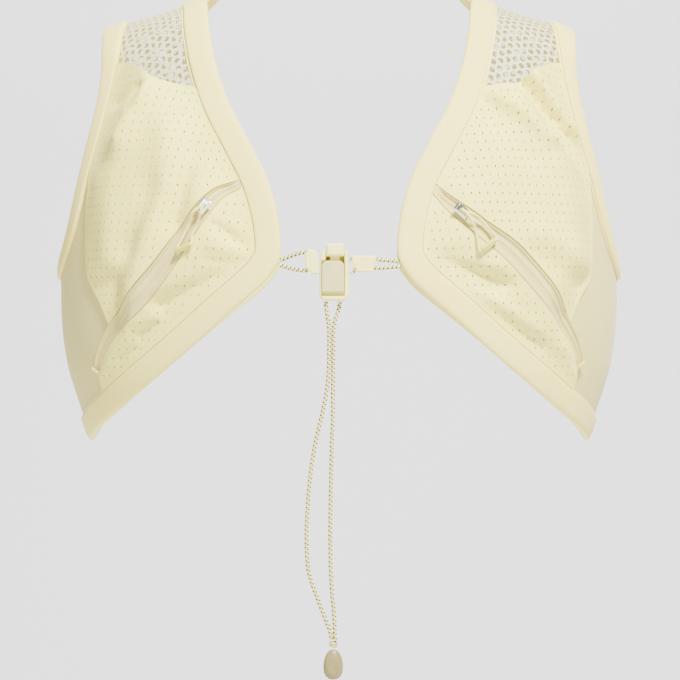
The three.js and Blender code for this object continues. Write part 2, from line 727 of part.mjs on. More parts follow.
// Begins a curve close beside the crest
function fromCrest(points) {
  const first = points[0];
  const y = (Math.sign(first.y) * SEAM_GAP) / 2;
  return [toBody(new THREE.Vector3(first.x, y, first.z)), ...points.slice(1)];
}

// Leaves off an end point that lies apart from the rest, past the crest
function inOneRun(points) {
  const apart = (a, b) => points[a].distanceTo(points[b]) > 2 * TUCK;
  const last = points.length - 1;
  return points.slice(apart(0, 1) ? 1 : 0, apart(last, last - 1) ? last : last + 1);
}

// The three edges that one net half shares with its bands, each from the crest or the sternum corner
function halfLoop(half, neckCurve, hemCurve, armCurve) {
  const neck = orderedFrom(half(neckCurve), neckAtCrest);
  const hem = orderedFrom(half(hemCurve), neck[neck.length - 1]);
  const armHalf = inOneRun(half(armCurve));
  const top = armHalf.reduce((best, p) => (p.z > best.z ? p : best), armHalf[0]);
  const arm = orderedFrom(armHalf, top);
  return { neck: fromCrest(neck), hem, arm: fromCrest(arm) };
}

const frontLoop = halfLoop(frontOf, neckInner, hemInner, armInner);
const netFront = halfLoop(frontOf, neckTuck, hemTuck, armTuck);
const netBack = halfLoop(backOf, neckTuck, hemTuck, armTuck);

const netSeams = {
  front: throughPoints(NET_SEAM.front.map(placeOnBody)),
  back: throughPoints(NET_SEAM.back.map(placeOnBody).map(flipDepth)),
};

// Cuts a seam to the stretch between the arm band and the hem band
function seamBetween(seam, arm, hem) {
  const start = arm[nearestIndex(arm, seam[0])];
  const end = hem[nearestIndex(hem, seam[seam.length - 1])];
  const inner = seam.filter((p) => p.distanceTo(start) > TUCK && p.distanceTo(end) > TUCK && p.z < start.z);
  return [start, ...inner, end];
}

function netGrid(loop, seam, rows, columns) {
  const edge = seamBetween(seam, loop.arm, loop.hem);
  const armPart = loop.arm.slice(0, loop.arm.indexOf(edge[0]) + 1);
  const hemPart = loop.hem.slice(0, loop.hem.indexOf(edge[edge.length - 1]) + 1);
  const crest = straightOnBody(loop.neck[0], armPart[0]);
  return patchGrid(crest, hemPart, loop.neck, [...armPart, ...edge.slice(1)], rows, columns);
}

const NET_ROWS = 10;
const NET_COLUMNS = 6;
const BACK_ROWS = 8;
const BACK_COLUMNS = 6;
const SIDE_ROWS = 6;
const SIDE_COLUMNS = 12;

// Hexagonal gaps lie in a pattern that is even along the cloth, counted from the crest and from the middle
function alongStrap(x, distance) {
  let p = placeOnBody({ out: x / HALF_WIDTH, forward: 0.004 });
  const steps = Math.max(1, Math.round(distance / 2));
  for (let i = 0; i < steps; i += 1) {
    const normal = bodyNormal(p);
    const forward = normal.clone().cross(new THREE.Vector3(1, 0, 0)).normalize();
    if (forward.y > 0) forward.negate();
    p = toBody(p.addScaledVector(forward, distance / steps));
    p.x = x;
    p = toBody(p);
  }
  return p;
}

const mouthLine = throughPoints(MOUTH.map(placeOnBody));

function netHoles(mirror) {
  const rowPitch = NET_PITCH * Math.sin(Math.PI / 3);
  const prisms = [];
  const { neck, arm } = frontLoop;
  for (let row = 0; row < 14; row += 1) {
    for (let column = 0; column < 14; column += 1) {
      const x = 0.5 * HALF_WIDTH + (column + (row % 2) / 2) * NET_PITCH;
      const distance = NET_TOP[mirror < 0 ? 'left' : 'right'] * VEST_DROP + row * rowPitch;
      const p = alongStrap(x, distance);
      const clearOf = (line, side) => {
        const q = line[nearestIndex(line, p)];
        return side * (p.x - q.x) > NET_GAP / 2 + NET_MARGIN;
      };
      const aboveMouth = p.z - mouthLine[nearestIndex(mouthLine, p)].z > NET_GAP / 2 + 0.6;
      if (!clearOf(neck, 1) || !clearOf(arm, -1) || !aboveMouth) continue;
      const prism = new THREE.CylinderGeometry(NET_GAP / 2, NET_GAP / 2, 6 * CLOTH, 6);
      const turn = new THREE.Quaternion().setFromUnitVectors(new THREE.Vector3(0, 1, 0), bodyNormal(p));
      prism.applyMatrix4(new THREE.Matrix4().compose(p, turn, new THREE.Vector3(1, 1, 1)));
      if (mirror < 0) prism.applyMatrix4(new THREE.Matrix4().makeScale(-1, 1, 1));
      prisms.push(facingOut(bare(prism)));
    }
  }
  return prisms;
}

// The net starts this far down from the crest along the cloth
const NET_TOP = { right: 0.095, left: 0.050 };

function addNets(side, mirror) {
  const front = netGrid(netFront, offsetCurve(netSeams.front, -5 * SEAM_GAP), NET_ROWS, NET_COLUMNS);
  const back = netGrid(netBack, offsetCurve(netSeams.back, SEAM_GAP), BACK_ROWS, BACK_COLUMNS);
  const plain = toManifold(layer(front, NET_LOW, CLOTH, mirror));
  const cut = plain.subtract(toManifold(mergeGeometries(netHoles(mirror))));
  addPiece(`base_mesh_${side}`, fromManifold(cut), materials.net);
  addPiece(`back_mesh_${side}`, layer(back, NET_LOW, CLOTH, mirror), materials.net);
}

const POCKET_ROWS = 13;
const POCKET_COLUMNS = 10;
const PANEL_ROWS = 6;
const PANEL_COLUMNS = 10;
const GARAGE_STEPS = 12;

// Outer cloth: pocket, zip garage, lower panel and side panel share one height field

function distanceToLine(p, line) {
  let least = Infinity;
  line.forEach((q) => {
    least = Math.min(least, p.distanceTo(q));
  });
  return least;
}

// Keeps what lies clear of a band, and starts it on the band's seam
function fromBand(points, edge, seam, clear) {
  const kept = points.filter((p) => distanceToLine(p, edge) > clear);
  return [seam[nearestIndex(seam, kept[0])], ...kept];
}

const fromNeckBand = (points) => fromBand(points, neckEdge, neckInner, NECK_BAND + 2 * SEAM_GAP);

function sideLayout(side) {
  const lip = throughPoints(ZIP_LIP[side].map(placeOnBody));
  lip.unshift(neckInner[nearestIndex(neckInner, lip[0])]);
  const lipCurve = resample(lip, CURVE_STEPS / 2);
  const seamStart = frontLoop.arm[nearestIndex(frontLoop.arm, placeOnBody(SIDE_SEAM[0]))];
  const meetIndex = nearestIndex(lipCurve, placeOnBody(ZIP_MEETS_SEAM));
  const seam = throughPoints([seamStart, ...SIDE_SEAM.slice(1).map(placeOnBody), lipCurve[meetIndex]]);
  const lipEnd = lipCurve[lipCurve.length - 1];
  const below = toBody(lipEnd.clone().add(ZIP_FOOT_SHIFT));
  const foot = frontLoop.hem[nearestIndex(frontLoop.hem, below)];
  const outerLine = [...seam, ...lipCurve.slice(meetIndex + 1), ...straightOnBody(lipEnd, foot, 8).slice(1)];
  const width = (t) => GARAGE_END_WIDTH + (GARAGE_WIDTH - GARAGE_END_WIDTH) * Math.sin(Math.PI * t) ** 0.8;
  const garageTop = fromNeckBand(offsetCurve(lipCurve, -SEAM_GAP));
  const garageFoot = fromNeckBand(offsetCurve(lipCurve, (t) => -SEAM_GAP - width(t)));
  const panelTop = fromNeckBand(offsetCurve(lipCurve, (t) => -2 * SEAM_GAP - width(t)));
  const armRun = stretch(frontLoop.arm, mouthLine[CURVE_STEPS], seamStart);
  const rims = [
    resample(frontLoop.neck, RIM_STEPS), resample(frontLoop.hem, RIM_STEPS), resample(outerLine, RIM_STEPS),
    resample(armRun, RIM_STEPS),
  ].flat();
  return {
    side, lipCurve, meetIndex, seam, seamStart, foot, outerLine, garageTop, garageFoot, panelTop, rims,
  };
}

function foldHeight(p, side) {
  return FOLDS.filter((fold) => fold.side === side).reduce((sum, fold) => {
    const ax = fold.fromOut * HALF_WIDTH;
    const az = -fold.fromDown * VEST_DROP;
    const bx = fold.toOut * HALF_WIDTH;
    const bz = -fold.toDown * VEST_DROP;
    const length = Math.hypot(bx - ax, bz - az);
    const along = ((p.x - ax) * (bx - ax) + (p.z - az) * (bz - az)) / length;
    const across = ((p.x - ax) * (bz - az) - (p.z - az) * (bx - ax)) / length;
    const wide = fold.wide * HALF_WIDTH;
    const past = Math.max(0, -along, along - length);
    return sum + fold.high * FOLD_HEIGHT * Math.exp(-((across / wide) ** 2) - (past / (1.5 * wide)) ** 2);
  }, 0);
}

function pocketLift(p, layout) {
  const distance = distanceToLine(p, layout.rims);
  const bulge = POCKET_BULGE * smoothstep(distance / POCKET_ROUNDING);
  const folds = foldHeight(p, layout.side) * smoothstep(distance / (0.4 * POCKET_ROUNDING));
  return Math.max(POCKET_LOW, POCKET_LOW + bulge + folds);
}

const garageLift = (p, layout) => Math.max(POCKET_LOW, pocketLift(p, layout) - GARAGE_RECESS);

function addSidePanel(side, mirror) {
  const front = seamBetween(offsetCurve(netSeams.front, SEAM_GAP), netFront.arm, netFront.hem);
  const back = seamBetween(offsetCurve(netSeams.back, -SEAM_GAP), netBack.arm, netBack.hem);
  const arm = stretch(armTuck, front[0], back[0]);
  const hem = stretch(hemTuck, front[front.length - 1], back[back.length - 1]);
  const grid = patchGrid(arm, hem, front, back, SIDE_ROWS, SIDE_COLUMNS);
  addPiece(`side_panel_${side}`, layer(grid, NET_LOW, CLOTH, mirror), materials.cloth);
}

function addOuterCloth(side, mirror) {
  const layout = sideLayout(side);
  const lift = (p) => pocketLift(p, layout);
  const { lipCurve, meetIndex, seam, seamStart, outerLine } = layout;

  const neckPart = stretch(frontLoop.neck, mouthLine[0], lipCurve[0]);
  const armPart = stretch(frontLoop.arm, mouthLine[CURVE_STEPS], seamStart);
  const mouth = [
    neckPart[0], ...mouthLine.slice(MOUTH_END_STEPS, CURVE_STEPS - MOUTH_END_STEPS), armPart[0],
  ];
  const pocketOuter = [...armPart, ...seam.slice(1)];
  const pocketFoot = lipCurve.slice(0, meetIndex + 1);
  const pocket = patchGrid(mouth, pocketFoot, neckPart, pocketOuter, POCKET_ROWS, POCKET_COLUMNS);
  addPiece(`bottle_pocket_${side}`, layer(pocket, lift, CLOTH, mirror), materials.cloth);

  const garage = bandGrid(layout.garageTop, layout.garageFoot, GARAGE_STEPS);
  addPiece(`zip_garage_${side}`, layer(garage, (p) => garageLift(p, layout), CLOTH, mirror), materials.cloth);

  const top = layout.panelTop;
  const hemPart = frontLoop.hem.slice(0, nearestIndex(frontLoop.hem, layout.foot) - 2);
  const neckLow = stretch(frontLoop.neck, top[0], frontLoop.neck[frontLoop.neck.length - 1]);
  const panelEnd = straightOnBody(top[top.length - 1], hemPart[hemPart.length - 1], 8);
  const lowerPanel = patchGrid(top, hemPart, neckLow, panelEnd, PANEL_ROWS, PANEL_COLUMNS);
  addPiece(`lower_panel_${side}`, layer(lowerPanel, lift, CLOTH, mirror), materials.cloth);

  return layout;
}

// Zip hardware sits on the garage, and each pull hangs over the cloth below it

// The outer face of the cloth at a place on the front, raised by a height
function onCloth(x, z, layout, height) {
  const p = placeOnBody({ out: x / HALF_WIDTH, down: -z / VEST_DROP });
  return p.clone().addScaledVector(bodyNormal(p), pocketLift(p, layout) + CLOTH + height);
}

function mirrored(geometry, mirror) {
  const plain = bare(geometry);
  if (mirror < 0) plain.applyMatrix4(new THREE.Matrix4().makeScale(-1, 1, 1));
  return facingOut(plain);
}

// Places a shape drawn flat at the origin, its length along X and its height along Z, on the cloth
function seated(geometry, centre, along, normal) {
  const x = along.clone().addScaledVector(normal, -along.dot(normal)).normalize();
  const y = normal.clone().cross(x);
  const frame = new THREE.Matrix4().makeBasis(x, y, normal).setPosition(centre);
  return geometry.applyMatrix4(frame);
}

function roundedBar(length, width, height, corner) {
  const a = length / 2 - corner;
  const b = width / 2 - corner;
  const shape = new THREE.Shape();
  shape.moveTo(-a, -b);
  shape.lineTo(a, -b);
  shape.lineTo(a, b);
  shape.lineTo(-a, b);
  shape.closePath();
  const bevel = height / 3;
  return new THREE.ExtrudeGeometry(shape, {
    depth: height - 2 * bevel,
    bevelEnabled: true,
    bevelThickness: bevel,
    bevelSize: corner,
    bevelSegments: 1,
    steps: 1,
  }).translate(0, 0, bevel);
}

function cordTube(points, diameter, steps, sides = CORD_SIDES) {
  const outline = [];
  for (let i = 0; i < sides; i += 1) {
    const angle = (2 * Math.PI * (i + 0.5)) / sides;
    outline.push(new THREE.Vector2((Math.cos(angle) * diameter) / 2, (Math.sin(angle) * diameter) / 2));
  }
  const path = new THREE.CatmullRomCurve3(points, false, 'centripetal');
  const section = new THREE.Shape(outline);
  return new THREE.ExtrudeGeometry(section, { steps, bevelEnabled: false, extrudePath: path });
}

function addZipHardware(side, mirror, layout) {
  const spec = ZIP_PARTS[side];
  const strip = bandGrid(layout.garageTop, layout.garageFoot, CURVE_STEPS);
  const line = strip.map((row) => row[0].clone().lerp(row[1], ZIP_ACROSS));
  const index = Math.round(spec.slider * CURVE_STEPS);
  const foot = toBody(line[index]);
  const along = line[index + 6].clone().sub(line[index]).normalize();
  const normal = bodyNormal(foot);
  const seat = foot.clone().addScaledVector(normal, pocketLift(foot, layout) + CLOTH + LAYER_GAP);
  const body = seated(roundedBar(SLIDER_LENGTH, SLIDER_WIDTH, SLIDER_THICK, 1.2), seat, along, normal);
  const reach = 0.5 * (pocketLift(foot, layout) - garageLift(foot, layout) + LAYER_GAP);
  const keel = seated(new THREE.BoxGeometry(SLIDER_LENGTH / 2, SLIDER_WIDTH / 3, reach + SLIDER_THICK)
    .translate(0, 0, (SLIDER_THICK - reach) / 2), seat, along, normal);
  const slider = toManifold(mirrored(body, mirror)).add(toManifold(mirrored(keel, mirror)));
  addPiece(`zip_slider_${side}`, fromManifold(slider), materials.metal);

  const end = toBody(line[STOP_STEPS]);
  const endNormal = bodyNormal(end);
  const endwards = line[STOP_STEPS].clone().sub(line[STOP_STEPS - LOOK_BACK_STEPS]).normalize();
  const across = endNormal.clone().cross(endwards);
  const stopSeat = end.clone().addScaledVector(endNormal, pocketLift(end, layout) + CLOTH + LAYER_GAP);
  const stop = seated(roundedBar(STOP_LENGTH, STOP_WIDTH, STOP_THICK, 0.5), stopSeat, across, endNormal);
  addPiece(`zip_stop_${side}`, mirrored(stop, mirror), materials.cloth);

  const rise = PULL_CORD / 2 + LAYER_GAP;
  const place = ([out, down], height) => {
    return onCloth(foot.x + out * PULL_LENGTH, foot.z - down * PULL_LENGTH, layout, height);
  };
  const [tabStart, tabEnd] = spec.tab.map((offset) => place(offset, PULL_TAB_THICK / 2 + LAYER_GAP));
  const eye = seat.clone().addScaledVector(normal, SLIDER_THICK + rise);
  const loop = cordTube([
    eye.clone().addScaledVector(along, -PULL_CORD * 0.7),
    place(spec.near, SLIDER_THICK + rise + LAYER_GAP),
    ...spec.first.map((offset) => place(offset, rise)),
    tabStart, tabEnd,
    ...spec.second.map((offset) => place(offset, rise)),
    place(spec.near2, SLIDER_THICK + rise + LAYER_GAP),
    eye.clone().addScaledVector(along, PULL_CORD * 0.7),
  ], PULL_CORD, PULL_STEPS);
  const middle = tabStart.clone().lerp(tabEnd, 0.5);
  const tab = new THREE.CylinderGeometry(PULL_TAB_THICK / 2, PULL_TAB_THICK / 2, PULL_TAB_LENGTH, 8);
  const turn = new THREE.Quaternion().setFromUnitVectors(
    new THREE.Vector3(0, 1, 0), tabEnd.clone().sub(tabStart).normalize());
  tab.applyMatrix4(new THREE.Matrix4().compose(middle, turn, new THREE.Vector3(1, 1, 1)));
  const pull = toManifold(mirrored(loop, mirror)).add(toManifold(mirrored(tab, mirror)));
  addPiece(`zip_pull_${side}`, fromManifold(pull), materials.moulded);
}

// Band behind the neck

const NAPE_STEPS = 6;
const NAPE_ROWS = 2;

function addNapeYoke() {
  const ends = offsetCurve(neckEdge, -SEAM_GAP).filter((p) => (
    p.y > -NAPE.forward * BACK_DEPTH && p.y < -NAPE.back * BACK_DEPTH));
  const end = orderedFrom(ends, placeOnBody({ out: 0.46, forward: 0 }));
  const onBack = (row) => toBody(new THREE.Vector3(
    row.out * HALF_WIDTH, deepAt(row.down) * BACK_DEPTH
      * Math.sqrt(Math.max(0, 1 - (row.out / wideAt(row.down)) ** 2)), -row.down * VEST_DROP));
  const upper = throughPoints([end[0], ...NAPE.upper.map(onBack)]);
  const lower = throughPoints([end[end.length - 1], ...NAPE.lower.map(onBack)]);
  const middle = straightOnBody(upper[CURVE_STEPS], lower[CURVE_STEPS], 6);
  const half = patchGrid(upper, lower, end, middle, NAPE_ROWS, NAPE_STEPS);
  const grid = half.map((row) => [
    ...row, ...reversed(row).slice(1).map((p) => new THREE.Vector3(-p.x, p.y, p.z)),
  ]);
  addPiece('nape_yoke', layer(grid, POCKET_LOW, BINDING_THICK, 1), materials.binding);
}

// Closure between the sternum corners

function closurePoint([out, down, forward = CLOSURE_STAND]) {
  return new THREE.Vector3(out, -EDGE_FORWARD - forward, -down);
}

// A plate drawn from the front and centred on a distance forward of the crest
function mouldedPlate(outline, depth, forward, bevel = 0.6) {
  const shape = new THREE.Shape(outline.map(([out, down]) => new THREE.Vector2(out, -down)));
  const plate = new THREE.ExtrudeGeometry(shape, {
    depth: depth - 2 * bevel, bevelEnabled: true, bevelThickness: bevel, bevelSize: bevel, bevelOffset: -bevel,
    bevelSegments: 1, steps: 1,
  });
  return plate.translate(0, 0, bevel - depth / 2).rotateX(Math.PI / 2).translate(0, -forward, 0);
}

function mouldedBlock(left, right, top, foot, depth, forward, bevel = 0.6) {
  return mouldedPlate([[left, top], [right, top], [right, foot], [left, foot]], depth, forward, bevel);
}

function plainBlock(left, right, top, foot, back, front) {
  const block = new THREE.BoxGeometry(right - left, front - back, foot - top);
  return block.translate((left + right) / 2, -(front + back) / 2, -(top + foot) / 2);
}

function cordChannel(points, steps) {
  const wide = (CORD + 2 * CORD_GAP) / Math.cos(Math.PI / CORD_SIDES);
  return toManifold(cordTube(points.map(closurePoint), wide, steps));
}

function addClosure() {
  const front = CLOSURE_FORWARD + LOCK_DEPTH / 2;
  const back = CLOSURE_FORWARD - LOCK_DEPTH / 2;
  const shell = toManifold(mouldedPlate(HOUSING_OUTLINE, LOCK_DEPTH, CLOSURE_FORWARD, 1));
  const shaft = toManifold(plainBlock(BUTTON_LEFT - CORD_GAP, BUTTON_RIGHT + CORD_GAP, BUTTON_TOP - CLIP_DEPTH,
    PLATE_FOOT - CORD, back + LOCK_WALL, front + LOCK_WALL));
  const recess = toManifold(plainBlock(PLATE_LEFT - CORD_GAP, PLATE_RIGHT + CORD_GAP, PLATE_TOP - CORD_GAP,
    PLATE_FOOT + SLOT_HEIGHT, front - PLATE_THICK - CORD_GAP, front + LOCK_WALL));
  addPiece('lock_housing', fromManifold(shell.subtract(shaft).subtract(recess)), materials.moulded);

  const plate = mouldedPlate([
    [PLATE_LEFT + PLATE_THICK, PLATE_TOP], [PLATE_RIGHT - PLATE_THICK, PLATE_TOP],
    [PLATE_RIGHT, PLATE_TOP + PLATE_THICK], [PLATE_RIGHT, PLATE_FOOT], [PLATE_LEFT, PLATE_FOOT],
    [PLATE_LEFT, PLATE_TOP + PLATE_THICK],
  ], PLATE_THICK + PLATE_PROUD, front + PLATE_PROUD - (PLATE_THICK + PLATE_PROUD) / 2, 0.5);
  addPiece('lock_plate', bare(plate), materials.plate);

  const buttonForward = back + LOCK_WALL + LAYER_GAP + BUTTON_DEPTH / 2;
  const head = toManifold(mouldedBlock(BUTTON_LEFT, BUTTON_RIGHT, BUTTON_TOP, BUTTON_FOOT, BUTTON_DEPTH,
    buttonForward, 1.2));
  const middle = (BUTTON_LEFT + BUTTON_RIGHT) / 2;
  const stem = toManifold(plainBlock(middle - STEM_WIDTH / 2, middle + STEM_WIDTH / 2, BUTTON_FOOT - 2,
    PLATE_FOOT - 3, back + LOCK_WALL + LAYER_GAP, front - PLATE_THICK - LAYER_GAP));
  addPiece('lock_button', fromManifold(head.add(stem)), materials.moulded);

  const hook = toManifold(mouldedPlate(HOOK_OUTLINE, HOOK_DEPTH, CLOSURE_FORWARD));
  addPiece('hook_end', fromManifold(hook.subtract(cordChannel(SIDE_CORDS.sternum_cord_left, LOOP_STEPS))),
    materials.moulded);
  const clip = toManifold(mouldedPlate(CLIP_OUTLINE, CLIP_DEPTH, CLOSURE_FORWARD));
  const drilled = clip.subtract(cordChannel(SIDE_CORDS.sternum_cord_upper, SIDE_STEPS))
    .subtract(cordChannel(SIDE_CORDS.sternum_cord_lower, SIDE_STEPS));
  addPiece('cord_clip', fromManifold(drilled), materials.moulded);
  Object.entries(SIDE_CORDS).forEach(([name, points]) => {
    const steps = name === 'sternum_cord_left' ? LOOP_STEPS : SIDE_STEPS;
    addPiece(name, bare(cordTube(points.map(closurePoint), CORD, steps)), materials.cord);
  });
}

function addTail() {
  Object.entries(TAIL_ROUTES).forEach(([name, points]) => {
    const apart = name === 'tail_cord_left' ? TAIL_APART : -TAIL_APART;
    const route = points.map(([out, down]) => closurePoint([out, down, CLOSURE_STAND + apart]));
    addPiece(name, bare(cordTube(route, CORD, TAIL_STEPS)), materials.cord);
  });
  const knotTop = END_TOP - LAYER_GAP - KNOT_HEIGHT;
  const knot = new THREE.SphereGeometry(0.5, 10, 6).rotateX(Math.PI / 2);
  knot.scale(KNOT_WIDTH, KNOT_WIDTH, KNOT_HEIGHT);
  knot.translate(END_OUT, -CLOSURE_FORWARD, -(knotTop + KNOT_HEIGHT / 2));
  addPiece('tail_knot', facingOut(bare(knot)), materials.cord);

  const profile = [];
  const rounds = 9;
  for (let i = 0; i <= rounds; i += 1) {
    const angle = (Math.PI * i) / rounds;
    const height = (1 - Math.cos(angle)) / 2;
    const narrowing = 1 - 0.22 * height;
    const radius = (Math.sin(angle) ** 0.8 * narrowing * END_WIDTH) / 2;
    profile.push(new THREE.Vector2(radius, height * END_HEIGHT));
  }
  const egg = new THREE.LatheGeometry(profile, 14).rotateX(Math.PI / 2).scale(1, END_DEPTH / END_WIDTH, 1);
  egg.translate(END_OUT, -CLOSURE_FORWARD, -(END_TOP + END_HEIGHT));
  const dent = new THREE.SphereGeometry(0.5, 12, 8).scale(0.62 * END_WIDTH, 2 * DENT_DEPTH, 0.6 * END_HEIGHT);
  dent.translate(END_OUT, -CLOSURE_FORWARD - END_DEPTH / 2, -(END_TOP + 0.58 * END_HEIGHT));
  const dented = toManifold(facingOut(bare(egg))).subtract(toManifold(facingOut(bare(dent))));
  addPiece('cord_end', fromManifold(dented), materials.plate);
}

for (const [side, mirror] of [['right', 1], ['left', -1]]) {
  addBindings(side, mirror);
  addNets(side, mirror);
  addSidePanel(side, mirror);
  addZipHardware(side, mirror, addOuterCloth(side, mirror));
}
addNapeYoke();
addClosure();
addTail();

export default vest;
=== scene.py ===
import math

import bpy
import numpy as np
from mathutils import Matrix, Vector
from mathutils.geometry import delaunay_2d_cdt


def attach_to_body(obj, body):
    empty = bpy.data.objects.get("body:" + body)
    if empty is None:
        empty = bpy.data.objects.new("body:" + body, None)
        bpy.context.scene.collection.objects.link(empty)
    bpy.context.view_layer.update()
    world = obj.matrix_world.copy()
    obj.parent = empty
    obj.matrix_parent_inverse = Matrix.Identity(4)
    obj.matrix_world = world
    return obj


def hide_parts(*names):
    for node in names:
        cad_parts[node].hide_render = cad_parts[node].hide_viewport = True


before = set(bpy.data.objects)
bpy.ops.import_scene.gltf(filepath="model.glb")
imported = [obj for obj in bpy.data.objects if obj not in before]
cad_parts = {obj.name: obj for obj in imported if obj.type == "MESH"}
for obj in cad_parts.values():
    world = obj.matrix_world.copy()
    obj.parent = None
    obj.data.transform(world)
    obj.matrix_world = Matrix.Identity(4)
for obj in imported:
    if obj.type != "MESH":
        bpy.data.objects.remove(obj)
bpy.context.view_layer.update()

# Sizes of the worn form, in millimetres
CHEST_WIDTH = 361
FRONT_DEPTH = 115
BACK_DEPTH = 108
BACK_SPREAD = 0.1
VEST_DROP = 280
CLOTH = 1.0
LAYER_GAP = 0.7
SEAM_GAP = 0.5
TUCK = 7
NECK_BAND = 15.5
HEM_BAND = 15.5
ARM_BAND = 15
ARM_BAND_LOW = 9
ARM_NARROWS_FROM = 0.03
ARM_NARROWS_OVER = 0.17
POCKET_BULGE = 9
POCKET_ROUNDING = 30
FOLD_HEIGHT = 5
GARAGE_WIDTH = 13
GARAGE_END_WIDTH = 3.5
GARAGE_RECESS = 1.4
SLIDER_THICK = 2.6
PULL_CORD = 1.8
PULL_LENGTH = 24
PULL_TAB_LENGTH = 12
PULL_TAB_THICK = 3.2
CORD = 2.4
CLOSURE_FORWARD = 117
EDGE_FORWARD = 112.5
TAIL_APART = 1.0
HALF_WIDTH = CHEST_WIDTH / 2
POCKET_LOW = LAYER_GAP
METRE = 0.001

# Cloth detail, in millimetres
EYELET_PITCH = 4.7
EYELET_ROW = 5.5
EYELET_LEAN = 1.3
EYELET_WIDE = 0.95
EYELET_HIGH = 1.7
HEX_PITCH = 4.9
HEX_GAP = 3.25
HEX_TALL = 1.12
HEX_LEAN = -0.35

# Steps along each curve. In millimetres: where folds fade at a seam, each sheet's height and thickness
CURVE_STEPS = 320
CORD_STEPS = 160
BAND_STEPS = 240
GARAGE_STEPS = 200
MOUTH_END_STEPS = 20
RIM_STEPS = 120
PANEL_STEPS = 60
YOKE_ROWS = 16
ENDING_STEPS = 8
HALVINGS = 40
FOLDS_FADE = 12
CREASES_FADE = 5
NET_LOW = -0.85
NET_THICK = 0.7
SIDE_LOW = -0.9
SIDE_THICK = 0.8
CLOTH_THICK = 0.9
STRANDS = 3
BRAID_RIDGE = 0.05

# A folded band's flat width, as a share of the width that shows
EDGE_BAND_FLAT = 2.2
ARM_BAND_FLAT = 1.6

# How finely a cut sheet is meshed, inside and along its edge, and how far its holes stay from the edge
NET_MESH = dict(spacing=6.0, edge_step=2.4, margin=0.9)
CLOTH_MESH = dict(spacing=2.2, edge_step=1.4, margin=1.3)

# Shares of a mesh's spacing: from row to row, and the least distance to the edge and to a hole
MESH_ROW = 0.87
MESH_TO_EDGE = 0.55
MESH_TO_HOLE = 0.45

# Half width and depth of the body at each drop below the shoulder crest
BODY = [
    (-0.107, 0.299, 0.400), (-0.071, 0.316, 0.417), (-0.036, 0.366, 0.452), (0.000, 0.471, 0.496),
    (0.014, 0.565, 0.513), (0.032, 0.648, 0.539), (0.050, 0.742, 0.561), (0.071, 0.825, 0.587),
    (0.100, 0.898, 0.617), (0.143, 0.947, 0.670), (0.214, 0.962, 0.748), (0.357, 0.975, 0.887),
    (0.500, 0.980, 0.965), (0.679, 0.985, 1.000), (0.732, 0.982, 0.996), (0.818, 0.965, 0.983),
    (0.911, 0.923, 0.948), (1.000, 0.870, 0.904), (1.080, 0.800, 0.840),
]


def out_down(*pairs):
    """Places on the front: how far out from the middle and down from the crest"""
    return [dict(out=out, down=down) for out, down in pairs]


def forward_down(*pairs):
    """Places on the side: how far forward of the crest and down from it"""
    return [dict(forward=forward, down=down) for forward, down in pairs]


# Edges and seams, as shares of the half width, the front's depth and the vest's drop
NECK_EDGE = [
    dict(out=0.465, forward=0), dict(out=0.463, forward=0.20), dict(out=0.456, forward=0.38),
    *out_down((0.448, 0.081), (0.427, 0.151), (0.380, 0.243), (0.309, 0.333), (0.241, 0.423), (0.205, 0.511),
              (0.197, 0.580), (0.206, 0.606)),
]
HEM_EDGE = [
    *out_down((0.206, 0.606), (0.247, 0.643), (0.397, 0.729), (0.550, 0.816), (0.716, 0.906), (0.812, 0.958)),
    dict(forward=0, down=1.000),
]
ARM_EDGE = forward_down(
    (0.000, 0.071), (0.217, 0.093), (0.330, 0.143), (0.378, 0.214), (0.391, 0.304), (0.357, 0.404),
    (0.270, 0.518), (0.157, 0.577), (0.000, 0.602),
)
SIDE_SEAM = out_down((0.855, 0.393), (0.872, 0.480), (0.873, 0.571), (0.865, 0.634), (0.824, 0.684))
SEAM_MEETS_ZIP = dict(out=0.79, down=0.733)
NET_SEAM = {
    "front": out_down((0.815, 0.360), (0.800, 0.550), (0.768, 0.700), (0.775, 0.800), (0.790, 0.910)),
    "back": out_down((0.870, 0.393), (0.870, 0.650), (0.830, 0.915)),
}
MOUTH = out_down(
    (0.482, 0.213), (0.554, 0.209), (0.618, 0.201), (0.657, 0.180), (0.704, 0.165), (0.760, 0.152),
)
ZIP_LIP = {
    "right": out_down((0.320, 0.426), (0.393, 0.469), (0.478, 0.512), (0.587, 0.563), (0.709, 0.653),
                      (0.790, 0.730), (0.824, 0.780), (0.838, 0.830)),
    "left": out_down((0.328, 0.420), (0.408, 0.441), (0.463, 0.476), (0.521, 0.522), (0.611, 0.603),
                     (0.702, 0.675), (0.790, 0.740), (0.829, 0.800), (0.840, 0.845)),
}

# Slider: share along the zip. Cord and sleeve of the pull: out and down from the slider in pull lengths
ZIP_ACROSS = 0.47
ZIP_PARTS = {
    "right": dict(slider=0.13, near=(0.12, 0.16), first=[(0.30, 0.50), (0.37, 0.85)],
                  tab=[(0.42, 1.02), (0.80, 0.72)], second=[(0.66, 0.50), (0.45, 0.27)], near2=(0.24, 0.12)),
    "left": dict(slider=0.16, near=(0.02, 0.18), first=[(0.14, 0.45), (0.26, 0.75)],
                 tab=[(0.30, 0.98), (0.62, 1.12)], second=[(0.50, 0.80), (0.34, 0.48)], near2=(0.20, 0.18)),
}
